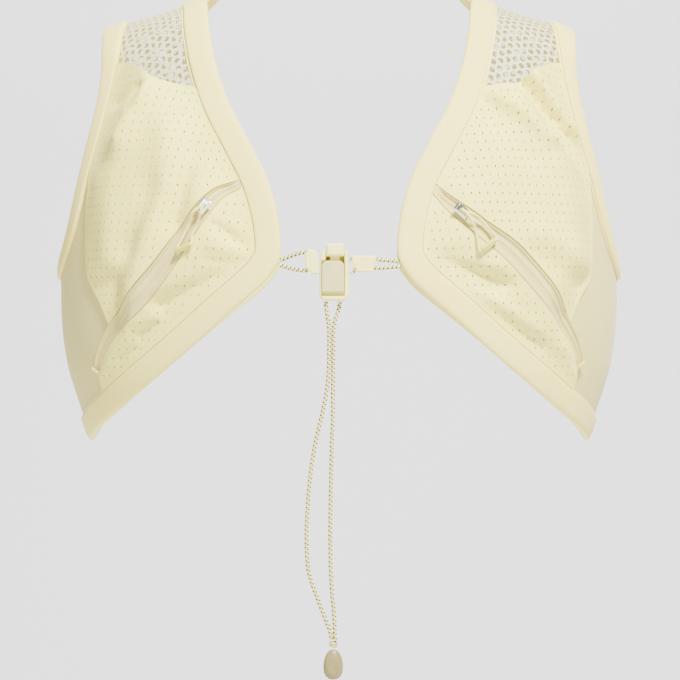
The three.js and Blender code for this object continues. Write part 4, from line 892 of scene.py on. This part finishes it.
def cut_sheet(outline, to_flat, from_flat, holes, spacing, edge_step, margin):
    """Triangles over a flat outline with holes, mapped back to the body"""
    flat = to_flat(outline)
    closed = np.vstack([flat, flat[:1]])
    steps = max(12, int(lengths(closed)[-1] / edge_step))
    polygon = resample(closed, steps)[:-1]
    low, high = polygon.min(0), polygon.max(0)
    kept = []
    if len(holes):
        centres = np.array([h.mean(0) for h in holes])
        radius = np.array([np.linalg.norm(h - h.mean(0), axis=1).max() for h in holes])
        ok = inside_polygon(centres, polygon) & (to_line(centres, closed) > radius + margin)
        kept = [holes[i] for i in np.nonzero(ok)[0]]
    rows = np.arange(low[1], high[1], spacing * MESH_ROW)
    grid = np.array([(x + (k % 2) * spacing / 2, y) for k, y in enumerate(rows)
                     for x in np.arange(low[0], high[0], spacing)])
    grid = grid[inside_polygon(grid, polygon) & (to_line(grid, closed) > MESH_TO_EDGE * spacing)]
    if kept:
        around = np.vstack(kept)
        least = np.full(len(grid), np.inf)
        for start in range(0, len(grid), 1500):
            gap = grid[start:start + 1500, None, :] - around[None]
            least[start:start + 1500] = np.sqrt((gap ** 2).sum(2).min(1))
        grid = grid[least > MESH_TO_HOLE * spacing]
    verts = [tuple(v) for v in polygon.tolist()]
    edges = [(i, (i + 1) % len(polygon)) for i in range(len(polygon))]
    owner = [-1] * len(polygon)
    for k, hole in enumerate(kept):
        base = len(verts)
        verts += [tuple(v) for v in hole.tolist()]
        edges += [(base + i, base + (i + 1) % len(hole)) for i in range(len(hole))]
        owner += [k] * len(hole)
    verts += [tuple(v) for v in grid.tolist()]
    owner += [-1] * len(grid)
    out, _, tris, source, _, _ = delaunay_2d_cdt([Vector(v) for v in verts], edges, [], 0, 1e-6, True)
    out = np.array([(v[0], v[1]) for v in out])
    owner_out = np.array([owner[s[0]] if s else -1 for s in source])
    tri = np.array([t for t in tris if len(t) == 3])
    same = (owner_out[tri[:, 0]] >= 0) & (owner_out[tri[:, 0]] == owner_out[tri[:, 1]])
    same &= owner_out[tri[:, 1]] == owner_out[tri[:, 2]]
    tri = tri[~same]
    tri = tri[inside_polygon(out[tri].mean(1), polygon)]
    used = np.unique(tri)
    remap = -np.ones(len(out), int)
    remap[used] = np.arange(len(used))
    return to_body(from_flat(out[used])), remap[tri]


def lifted_sheet(name, points, triangles, lift, thick, mirror, material):
    normal = normals(points)
    height = np.full(len(points), float(lift)) if np.isscalar(lift) else lift(points)
    inner = points + normal * height[:, None]
    outer = inner + normal * thick
    return sheet_object(name, inner, outer, oriented(outer, triangles, normal), mirror, material)


def grid_triangles(rows, columns):
    at = np.arange(rows * columns).reshape(rows, columns)
    a, b, c, d = at[:-1, :-1].ravel(), at[:-1, 1:].ravel(), at[1:, 1:].ravel(), at[1:, :-1].ravel()
    return np.vstack([np.stack([a, b, c], axis=1), np.stack([a, c, d], axis=1)])


def patch_grid(top, bottom, left, right, rows, columns):
    upper, lower = resample(top, columns), resample(bottom, columns)
    near, far = resample(left, rows), resample(right, rows)
    u = np.linspace(0, 1, columns + 1)[None, :, None]
    v = np.linspace(0, 1, rows + 1)[:, None, None]
    p = upper[None] * (1 - v) + lower[None] * v + near[:, None] * (1 - u) + far[:, None] * u
    p = p - upper[0] * (1 - u) * (1 - v) - upper[-1] * u * (1 - v)
    p = p - lower[0] * (1 - u) * v - lower[-1] * u * v
    return to_body(p.reshape(-1, 3)).reshape(rows + 1, columns + 1, 3)


def ring_faces(total, sides, closed=False):
    """Faces between neighbouring rings of points, and over both ends where the rings aren't closed"""
    faces = []
    for i in range(total if closed else total - 1):
        for j in range(sides):
            k = (j + 1) % sides
            m = (i + 1) % total
            faces.append((i * sides + j, i * sides + k, m * sides + k, m * sides + j))
    if not closed:
        faces.append(tuple(range(sides))[::-1])
        faces.append(tuple((total - 1) * sides + j for j in range(sides)))
    return faces


def face_out(obj):
    """Turns the faces outwards if the closed mesh is inside out"""
    mesh = obj.data
    mesh.calc_loop_triangles()
    co = np.array([v.co for v in mesh.vertices])
    tri = np.array([t.vertices for t in mesh.loop_triangles])
    volume = (co[tri[:, 0]] * np.cross(co[tri[:, 1]], co[tri[:, 2]])).sum()
    if volume < 0:
        mesh.flip_normals()


def profile_band(name, outside, inside, profile, mirror, material):
    """A band round a closed edge, with a closed cross-section: share across from the edge, and height"""
    rings = []
    for across, height in profile:
        p = to_body(outside[:-1] * (1 - across) + inside[:-1] * across)
        rings.append(p + normals(p) * height)
    verts = np.stack(rings, axis=1)
    total, sides = verts.shape[:2]
    verts, faces = mirrored(verts.reshape(-1, 3), ring_faces(total, sides, closed=True), mirror)
    obj = make_object(name, verts, faces, material, 0.9)
    face_out(obj)
    return obj


def tube(name, path, diameter, material, around=12, pitch=8.1, step=0.5, ridge=BRAID_RIDGE):
    """A round cord of twisted strands, with its length and turn stored as a map"""
    path = np.asarray(path, float)
    path = resample(path, max(8, int(lengths(path)[-1] / step)))
    along = lengths(path)
    tangents = unit(np.gradient(path, axis=0))
    side = np.cross(tangents[0], np.array([0.3, 1.0, 0.2]))
    side /= np.linalg.norm(side)
    verts = []
    for i, tangent in enumerate(tangents):
        side = side - tangent * side.dot(tangent)
        side /= np.linalg.norm(side)
        other = np.cross(tangent, side)
        for j in range(around):
            angle = 2 * math.pi * j / around
            swell = 1 + ridge * math.cos(STRANDS * angle + 2 * math.pi * along[i] / (pitch / STRANDS))
            verts.append(path[i] + (side * math.cos(angle) + other * math.sin(angle)) * diameter / 2 * swell)
    maps = []
    for i in range(len(path) - 1):
        u0 = along[i] / pitch * STRANDS
        u1 = along[i + 1] / pitch * STRANDS
        for j in range(around):
            v0 = j / around
            v1 = (j + 1) / around
            maps.append(((u0, v0), (u0, v1), (u1, v1), (u1, v0)))
    maps += [[(0, 0)] * around] * 2
    obj = make_object(name, np.array(verts), ring_faces(len(path), around), material, 1.0)
    layer = obj.data.uv_layers.new(name="along")
    layer.data.foreach_set("uv", [c for face in maps for pair in face for c in pair])
    face_out(obj)
    return obj


def capsule(name, path, diameter, material):
    """A sleeve with rounded ends"""
    around = 16
    rounding = diameter * 0.45
    tangent = unit(path[-1] - path[0])
    side = unit(np.cross(tangent, np.array([0.2, 1.0, 0.3])))
    other = np.cross(tangent, side)
    half = lengths(path)[-1] / 2
    verts = []
    for i, point in enumerate(path):
        at = abs(i / (len(path) - 1) * 2 - 1) * half
        over = max(0, at - (half - rounding)) / rounding
        radius = diameter / 2 * math.sqrt(max(0.02, 1 - over * over))
        for j in range(around):
            angle = 2 * math.pi * j / around
            verts.append(point + (side * math.cos(angle) + other * math.sin(angle)) * radius)
    obj = make_object(name, np.array(verts), ring_faces(len(path), around), material, 1.2)
    face_out(obj)
    return obj


# What each piece rides on and stands for
def attach(piece, slot, *nodes):
    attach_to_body(piece, "root")
    if nodes:
        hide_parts(*nodes)


def attach_sheet(piece, node, slot, flat):
    """Attaches cloth that is stretched on the body, in place of its solid. Its flat size along its own main
    directions is not used
    """
    attach(piece, slot, node)


def closure_path(points, forward):
    """A cord's line; a route point with a third value has its own place forward"""
    return smooth_curve([(p[0], -(p[2] if len(p) > 2 else forward), -p[1]) for p in points], CORD_STEPS)


# Elastic cords
cord_lines = {}
cord_pieces = {}
for cord_name, route in {**TAIL_ROUTES, **SIDE_CORDS}.items():
    shift = {"tail_cord_left": TAIL_APART, "tail_cord_right": -TAIL_APART}.get(cord_name, 0)
    cord_lines[cord_name] = closure_path(route, CLOSURE_FORWARD + shift)
    cord_pieces[cord_name] = tube(cord_name + "_braid", cord_lines[cord_name], CORD, cord_look)
    attach(cord_pieces[cord_name], "cord", cord_name)


# Holes
def hexagons(low, high):
    """Hexagonal gaps in rows that lean with the strap, drawn a little long"""
    pitch_row = HEX_PITCH * math.sin(math.pi / 3)
    corner = HEX_GAP / 2 / math.cos(math.pi / 6)
    angle = np.radians(np.arange(6) * 60 + 30)
    shape = np.stack([corner * np.cos(angle), corner * np.sin(angle)], axis=1)
    middle = (low + high) / 2
    reach = np.linalg.norm(high - low) / 2 + HEX_PITCH
    cos, sin = math.cos(HEX_LEAN), math.sin(HEX_LEAN)
    rows = int(reach / pitch_row)
    columns = int(reach / HEX_PITCH)
    holes = []
    for row in range(-rows, rows + 1):
        for column in range(-columns, columns + 1):
            centre = np.array([(column + (row % 2) / 2) * HEX_PITCH, row * pitch_row])
            x, y = (centre + shape).T
            turned = np.stack([x * cos - y * sin, x * sin + y * cos], axis=1)
            hole = middle + turned * np.array([1, HEX_TALL])
            if (hole.mean(0) > low).all() and (hole.mean(0) < high).all():
                holes.append(hole)
    return holes


def eyelets(low, high):
    """Small oval holes in rows, each row shifted from the one before it"""
    angle = np.radians(np.arange(8) * 45 + 22.5)
    shape = np.stack([EYELET_WIDE / 2 * np.cos(angle), EYELET_HIGH / 2 * np.sin(angle)], axis=1)
    holes = []
    for row in range(int((high[1] - low[1]) / EYELET_ROW) + 2):
        x = low[0] + (row * EYELET_LEAN) % EYELET_PITCH
        column = 0
        while x + column * EYELET_PITCH <= high[0]:
            holes.append(np.array([x + column * EYELET_PITCH, low[1] + row * EYELET_ROW]) + shape)
            column += 1
    return holes


def joined(*runs):
    """A closed outline from runs that each start where the one before them ends"""
    return np.vstack([run[:-1] for run in runs])


# Nets
def net_outline(loop, seam):
    edge = seam_between(seam, loop["arm"], loop["hem"])
    arm_part = loop["arm"][:nearest(loop["arm"], edge[0]) + 1]
    hem_part = loop["hem"][:nearest(loop["hem"], edge[-1]) + 1]
    crest = straight_on_body(loop["neck"][0], arm_part[0])
    return joined(crest, arm_part, edge, hem_part[::-1], loop["neck"][::-1])


nets = {}
for name, loop, seam, offset in (
    ("base_mesh", net_front, net_seams["front"], -5 * SEAM_GAP),
    ("back_mesh", net_back, net_seams["back"], SEAM_GAP),
):
    outline = net_outline(loop, offset_curve(seam, offset))
    flat = strap_to_flat(outline)
    holes = hexagons(flat.min(0), flat.max(0))
    nets[name] = (*cut_sheet(outline, strap_to_flat, strap_from_flat, holes, **NET_MESH), flat)


def add_nets(side, mirror):
    for name, (points, triangles, flat) in nets.items():
        # Both nets take the darker net colour, which is painted shade
        piece = lifted_sheet(f"{name}_{side}_net", points, triangles, NET_LOW, NET_THICK, mirror, net_painted_shade_look)
        attach_sheet(piece, f"{name}_{side}", "net", flat)


# Bindings: the section of a band folded over the edge
BINDING_SECTION = [
    (1.12, 0.2), (1.12, 0.5), (1.005, 0.52), (1.0, 1.6), (0.985, 1.95), (0.95, 2.2), (0.90, 2.32),
    (0.82, 2.42), (0.66, 2.5), (0.45, 2.6), (0.25, 2.58), (0.12, 2.4), (0.045, 1.95), (0.005, 1.2),
    (-0.01, 0.4), (0.0, -0.5), (0.03, -1.2), (0.10, -1.7), (0.30, -1.9), (0.60, -1.9), (0.88, -1.8),
    (0.98, -1.6), (1.0, -1.3), (0.97, -1.12), (0.6, -1.1), (0.2, -1.1), (0.14, -0.6), (0.14, 0.1),
    (0.2, 0.2), (0.6, 0.2),
]
edge_outside = np.vstack([resample(neck_edge, BAND_STEPS), resample(hem_edge, BAND_STEPS)[1:]])
edge_inside = np.vstack([resample(neck_seam, BAND_STEPS), resample(hem_seam, BAND_STEPS)[1:]])


def add_bindings(side, mirror):
    for name, nodes, outside, inside, width in (
        ("edge", ("neck", "hem"), edge_outside, edge_inside, EDGE_BAND_FLAT * NECK_BAND),
        ("arm", ("arm",), arm_edge, arm_seam, ARM_BAND_FLAT * ARM_BAND),
    ):
        band = profile_band(f"{name}_binding_{side}_band", outside, inside, BINDING_SECTION, mirror,
                            band_look)
        attach(band, "binding", *[f"{node}_binding_{side}" for node in nodes])


# Smooth cloth round the side
front_seam = seam_between(offset_curve(net_seams["front"], SEAM_GAP), net_front["arm"], net_front["hem"])
back_seam = seam_between(offset_curve(net_seams["back"], -SEAM_GAP), net_back["arm"], net_back["hem"])
side_arm = stretch(arm_tuck, front_seam[0], back_seam[0])
side_hem = stretch(hem_tuck, front_seam[-1], back_seam[-1])
side_grid = patch_grid(side_arm, side_hem, front_seam, back_seam, PANEL_STEPS, PANEL_STEPS)


def add_side_panel(side, mirror):
    points = side_grid.reshape(-1, 3)
    triangles = grid_triangles(*side_grid.shape[:2])
    # The side panel's darker colour is painted shade
    piece = lifted_sheet(f"side_panel_{side}_cloth", points, triangles, SIDE_LOW, SIDE_THICK, mirror,
                         side_painted_shade_look)
    attach_sheet(piece, f"side_panel_{side}", "cloth", front_to_flat(points))


# Perforated cloth of the pocket and of the panel under the zip
def add_perforated(name, side, mirror, outline, layout):
    flat = front_to_flat(outline)
    holes = eyelets(flat.min(0), flat.max(0))
    points, triangles = cut_sheet(outline, front_to_flat, front_from_flat, holes, **CLOTH_MESH)
    piece = lifted_sheet(f"{name}_{side}_cloth", points, triangles, lambda p: pocket_lift(p, layout),
                         CLOTH_THICK, mirror, cloth_look)
    attach_sheet(piece, f"{name}_{side}", "cloth", flat)


def pocket_outline(layout):
    lip = layout["lip"]
    neck_part = stretch(front_loop["neck"], mouth_line[0], lip[0])
    arm_part = stretch(front_loop["arm"], mouth_line[-1], layout["seam_start"])
    between = mouth_line[MOUTH_END_STEPS:CURVE_STEPS - MOUTH_END_STEPS]
    mouth = np.vstack([neck_part[0], between, arm_part[0]])
    return joined(mouth, arm_part, layout["seam"], lip[:layout["meet"] + 1][::-1], neck_part[::-1])


def panel_outline(layout):
    top = layout["panel_top"]
    hem = front_loop["hem"][:nearest(front_loop["hem"], layout["foot"]) - 2]
    neck_low = stretch(front_loop["neck"], top[0], front_loop["neck"][-1])
    return joined(top, straight_on_body(top[-1], hem[-1], ENDING_STEPS), hem[::-1], neck_low[::-1])


# Strip that the zip lies in, from its lip to its foot: share across, and height over the strip's own floor.
# A row with no height is a ledge under the next cloth.
GARAGE_SECTION = [
    (-0.16, None), (-0.06, None), (0.0, -0.5), (0.02, 0.2), (0.05, 1.2), (0.09, 1.5), (0.13, 1.25),
    (0.16, 0.5), (0.19, 0.05), (0.25, 0.0), (0.33, 0.0), (0.42, 0.05), (0.45, 0.3), (0.48, 0.05),
    (0.52, -0.35), (0.55, 0.05), (0.58, 0.3), (0.61, 0.05), (0.70, 0.0), (0.80, 0.1), (0.86, 0.45),
    (0.92, 0.75), (0.97, 0.6), (1.0, 0.0), (1.06, None), (1.14, None),
]
GARAGE_ENDS = 0.05
LEDGE_LOW = 0.6
LEDGE_HIGH = 0.25


def add_garage(side, mirror, layout):
    rows = GARAGE_STEPS
    a, b = resample(layout["garage_top"], rows), resample(layout["garage_foot"], rows)
    grid = np.stack([to_body(a * (1 - across) + b * across) for across, _ in GARAGE_SECTION], axis=1)
    points = grid.reshape(-1, 3)
    ends = np.linspace(0, 1, rows + 1)
    fade = smoothstep(ends / GARAGE_ENDS) * smoothstep((1 - ends) / GARAGE_ENDS)
    fade = np.repeat(fade, len(GARAGE_SECTION))
    cloth = pocket_lift(points, layout)
    floor_height = np.maximum(POCKET_LOW, cloth - GARAGE_RECESS)
    ledge = np.tile([height is None for _, height in GARAGE_SECTION], rows + 1)
    raised = np.tile([height or 0.0 for _, height in GARAGE_SECTION], rows + 1)
    low_face = np.where(ledge, cloth - LEDGE_LOW, floor_height)
    high_face = np.where(ledge, cloth - LEDGE_HIGH, floor_height + CLOTH_THICK + raised * fade)
    triangles = grid_triangles(rows + 1, len(GARAGE_SECTION))
    normal = normals(points)
    inner = points + normal * low_face[:, None]
    outer = points + normal * high_face[:, None]
    # The garage takes the side cloth's darker colour: painted shade in the recess the zip lies in
    piece = sheet_object(f"zip_garage_{side}_cloth", inner, outer, oriented(outer, triangles, normal), mirror,
                         side_painted_shade_look)
    attach_sheet(piece, f"zip_garage_{side}", "cloth", front_to_flat(points))


# Cord loop on the slider, and the sleeve on it
def on_cloth(x, z, layout, height):
    p = place(dict(out=x / HALF_WIDTH, down=-z / VEST_DROP))[None]
    return (p + normals(p) * (pocket_lift(p, layout) + CLOTH + height)[:, None])[0]


def add_pull(side, mirror, layout):
    spec = ZIP_PARTS[side]
    top, foot = resample(layout["garage_top"], CURVE_STEPS), resample(layout["garage_foot"], CURVE_STEPS)
    middle_line = top * (1 - ZIP_ACROSS) + foot * ZIP_ACROSS
    index = round(spec["slider"] * CURVE_STEPS)
    under = to_body(middle_line[index][None])
    along = unit(middle_line[index + 6] - middle_line[index])
    normal = normals(under)[0]
    seat = under[0] + normal * (pocket_lift(under, layout)[0] + CLOTH + LAYER_GAP)
    rise = PULL_CORD / 2 + LAYER_GAP
    high = SLIDER_THICK + rise + LAYER_GAP

    def at(offset, height):
        return on_cloth(under[0][0] + offset[0] * PULL_LENGTH, under[0][2] - offset[1] * PULL_LENGTH,
                        layout, height)

    start, end = [at(offset, PULL_TAB_THICK / 2 + LAYER_GAP) for offset in spec["tab"]]
    eye = seat + normal * (SLIDER_THICK + rise)
    reach = along * PULL_CORD * 0.7
    route = [eye - reach, at(spec["near"], high), *[at(o, rise) for o in spec["first"]], start, end,
             *[at(o, rise) for o in spec["second"]], at(spec["near2"], high), eye + reach]
    line = smooth_curve(route, CORD_STEPS)
    line[:, 0] *= mirror
    piece = tube(f"zip_pull_{side}_braid", line, PULL_CORD, pull_look, around=10, pitch=4.5, step=0.4)
    attach(piece, "pull", f"zip_pull_{side}")
    share = np.linspace(0, 1, 24)[:, None]
    sleeve_line = (start + end) / 2 + unit(end - start) * PULL_TAB_LENGTH * (share - 0.5)
    sleeve_line[:, 0] *= mirror
    sleeve = capsule(f"pull_sleeve_{side}", sleeve_line, PULL_TAB_THICK, sleeve_look)
    attach(sleeve, "pull")


for side, mirror in (("right", 1), ("left", -1)):
    layout = side_layout(side)
    add_bindings(side, mirror)
    add_nets(side, mirror)
    add_side_panel(side, mirror)
    add_perforated("bottle_pocket", side, mirror, pocket_outline(layout), layout)
    add_perforated("lower_panel", side, mirror, panel_outline(layout), layout)
    add_garage(side, mirror, layout)
    add_pull(side, mirror, layout)


# Moulded pieces: the solid with its edges rounded, by a fine remesh and then smoothing
def rounded(node_name, voxel, turns, material, slot):
    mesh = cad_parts[node_name].data.copy()
    obj = bpy.data.objects.new(node_name + "_moulded", mesh)
    scene.collection.objects.link(obj)
    remesh = obj.modifiers.new("even", "REMESH")
    remesh.mode = "VOXEL"
    remesh.voxel_size = voxel
    soften = obj.modifiers.new("soften", "SMOOTH")
    soften.factor = 0.5
    soften.iterations = turns
    bpy.context.view_layer.update()
    depsgraph = bpy.context.evaluated_depsgraph_get()
    done = bpy.data.meshes.new_from_object(obj.evaluated_get(depsgraph))
    obj.modifiers.clear()
    obj.data = done
    done.materials.clear()
    done.materials.append(material)
    done.polygons.foreach_set("use_smooth", [True] * len(done.polygons))
    attach(obj, slot, node_name)
    return obj


for node_name, voxel, turns, look, slot in (
    ("lock_housing", 0.00022, 6, plastic_look, "moulded"),
    ("lock_button", 0.00022, 8, plastic_look, "moulded"),
    ("lock_plate", 0.0002, 6, plate_look, "plate"),
    ("hook_end", 0.0002, 6, plastic_look, "moulded"),
    ("cord_clip", 0.0002, 6, plastic_look, "moulded"),
    ("cord_end", 0.00025, 10, end_look, "plate"),
    ("zip_slider_right", 0.00014, 6, silver_look, "slider"),
    ("zip_slider_left", 0.00014, 6, silver_look, "slider"),
):
    rounded(node_name, voxel, turns, look, slot)


# Band behind the neck, padded, with a seam line along each edge
YOKE_PAD = 1.9
YOKE_LEAST = 0.4
YOKE_ROUNDING = 0.12
YOKE_SEAM_AT = 0.2
YOKE_SEAM_WIDE = 0.03
YOKE_SEAM_DEEP = 0.35


def on_back(out, down):
    share = min(1, out / float(wide_at(down)))
    deep = float(deep_at(down)) * BACK_DEPTH
    return [out * HALF_WIDTH, deep * math.sqrt(1 - share * share), -down * VEST_DROP]


def add_yoke():
    edge = offset_curve(neck_edge, -SEAM_GAP)
    edge = edge[(edge[:, 1] > -NAPE_FORWARD * BACK_DEPTH) & (edge[:, 1] < -NAPE_BACK * BACK_DEPTH)]
    edge = ordered_from(edge, place(dict(out=0.46, forward=0)))
    upper = through_points(to_body(np.vstack([edge[0], [on_back(*row) for row in NAPE_UPPER]])))
    lower = through_points(to_body(np.vstack([edge[-1], [on_back(*row) for row in NAPE_LOWER]])))
    middle = straight_on_body(upper[-1], lower[-1], 12)
    half = patch_grid(upper, lower, edge, middle, YOKE_ROWS, PANEL_STEPS)
    grid = np.concatenate([half, half[:, ::-1][:, 1:] * np.array([-1, 1, 1])], axis=1)
    rows, columns = grid.shape[:2]
    points = grid.reshape(-1, 3)
    triangles = grid_triangles(rows, columns)
    share = np.repeat(np.linspace(0, 1, rows), columns)
    from_edge = np.minimum(share, 1 - share)
    pad = YOKE_PAD * smoothstep(from_edge / YOKE_ROUNDING) ** 0.5
    seam = YOKE_SEAM_DEEP * np.exp(-((from_edge - YOKE_SEAM_AT) / YOKE_SEAM_WIDE) ** 2)
    normal = normals(points)
    inner = points + normal * LAYER_GAP
    outer = inner + normal * (YOKE_LEAST + pad - seam)[:, None]
    yoke = sheet_object("nape_yoke_cloth", inner, outer, oriented(outer, triangles, normal), 1, band_look)
    attach(yoke, "binding", "nape_yoke")


add_yoke()

# Knot over the cord end: a strand wound round a little over twice
KNOT_CENTRE = (-3.5, -CLOSURE_FORWARD, -401.6)
KNOT_WIDE = 5.4
KNOT_HIGH = 4.5
KNOT_STRAND = 2.1
KNOT_TURNS = 2.2
KNOT_POINTS = 90


def add_knot():
    points = []
    for i in range(KNOT_POINTS):
        t = i / (KNOT_POINTS - 1)
        angle = 2 * math.pi * KNOT_TURNS * t
        radius = (KNOT_WIDE - KNOT_STRAND) / 2 * (0.78 + 0.22 * math.sin(math.pi * t))
        points.append((KNOT_CENTRE[0] + radius * math.cos(angle), KNOT_CENTRE[1] + radius * math.sin(angle),
                       KNOT_CENTRE[2] + (KNOT_HIGH - KNOT_STRAND) * (0.5 - t)))
    piece = tube("tail_knot_wound", points, KNOT_STRAND, cord_look, pitch=3.4, step=0.25)
    attach(piece, "cord", "tail_knot")
    return piece


knot = add_knot()

# Bar tack at the foot of each zip: one thread to and fro over a short tape
TACK_STITCHES = 13
TACK_POINTS = 8
TACK_THREAD = 0.55


def add_tack(side):
    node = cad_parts[f"zip_stop_{side}"]
    co = np.array([v.co for v in node.data.vertices]) * 1000
    centre = (co.min(0) + co.max(0)) / 2
    _, _, axes = np.linalg.svd(co - co.mean(0))
    long_axis, wide_axis, thin_axis = axes
    long, wide, thin = [np.ptp((co - centre) @ axis) for axis in axes]
    outward = -thin_axis * math.copysign(1, thin_axis[1])
    stitches = []
    for i in range(TACK_STITCHES * TACK_POINTS + 1):
        t = i / (TACK_STITCHES * TACK_POINTS)
        swing = math.cos(2 * math.pi * TACK_STITCHES * t / 2)
        across = 0.5 * wide * max(-1, min(1, 1.6 * swing)) * 0.9
        lift = 0.5 * thin * (0.2 + 0.6 * (1 - swing * swing))
        stitches.append(centre + long_axis * (t - 0.5) * long * 0.94 + wide_axis * across + outward * lift)
    tack = tube(f"zip_stop_{side}_stitches", stitches, TACK_THREAD, thread_look, around=6, pitch=1.5,
                step=0.2, ridge=0.0)
    attach(tack, "cloth", f"zip_stop_{side}")


add_tack("right")
add_tack("left")

# Floor that curves up into a backdrop, in metres
FLOOR_LOW = -0.75
FLOOR_HALF_WIDTH = 4.5
FLOOR_FRONT = -4.5
CURVE_RADIUS = 0.9
WALL_AT = 3.6
WALL_TOP = 3.2


def floor_look():
    material, tree, shader = new_material("pale_floor")
    cloud = add_texture(tree, "ShaderNodeTexNoise", Scale=1.2, Detail=2.0)
    tone = mix_color(tree, ramp(tree, cloud.outputs[0], 0.3, 0.7), (0.80, 0.80, 0.80), (0.79, 0.79, 0.79))
    tree.links.new(tone, shader.inputs["Base Color"])
    set_values(shader, Roughness=0.95, Specular_IOR_Level=0.0)
    return material


def add_floor():
    profile = [(FLOOR_FRONT, FLOOR_LOW)]
    for i in range(25):
        angle = math.pi / 2 * i / 24
        profile.append((WALL_AT - CURVE_RADIUS + CURVE_RADIUS * math.sin(angle),
                        FLOOR_LOW + CURVE_RADIUS * (1 - math.cos(angle))))
    profile.append((WALL_AT, WALL_TOP))
    mesh = bpy.data.meshes.new("floor")
    mesh.from_pydata([(x, y, z) for y, z in profile for x in (-FLOOR_HALF_WIDTH, FLOOR_HALF_WIDTH)], [],
                     [(2 * i, 2 * i + 1, 2 * i + 3, 2 * i + 2) for i in range(len(profile) - 1)])
    mesh.polygons.foreach_set("use_smooth", [True] * len(mesh.polygons))
    mesh.materials.append(floor_look())
    floor = bpy.data.objects.new("floor", mesh)
    scene.collection.objects.link(floor)


add_floor()

# Air and lights: name, place, target, size, power and colour
AIR_STRENGTH = 0.30
LIGHTS = [
    ("key", (0.75, -1.7, 2.0), (0, 0, -0.15), 0.5, 400, (1.0, 0.99, 0.97)),
    ("fill", (-1.5, -1.9, 0.6), (0, 0, -0.2), 1.2, 22, (1.0, 1.0, 1.0)),
    ("wash_high", (0, 2.1, 2.2), (0, WALL_AT, 0.2), 1.6, 134, (1.0, 1.0, 1.0)),
    ("rear", (-0.9, 1.9, 1.5), (0, 0, -0.15), 1.4, 22, (1.0, 1.0, 1.0)),
]

world = bpy.data.worlds.new("air")
scene.world = world
world.use_nodes = True
world.node_tree.nodes["Background"].inputs[0].default_value = (0.985, 0.99, 1.0, 1)
world.node_tree.nodes["Background"].inputs[1].default_value = AIR_STRENGTH
for name, location, target, size, power, color in LIGHTS:
    data = bpy.data.lights.new(name, "AREA")
    data.shape = "DISK"
    data.size = size
    data.energy = power
    data.color = color
    light = bpy.data.objects.new(name, data)
    scene.collection.objects.link(light)
    light.location = location
    light.rotation_euler = (Vector(target) - Vector(location)).to_track_quat("-Z", "Y").to_euler()
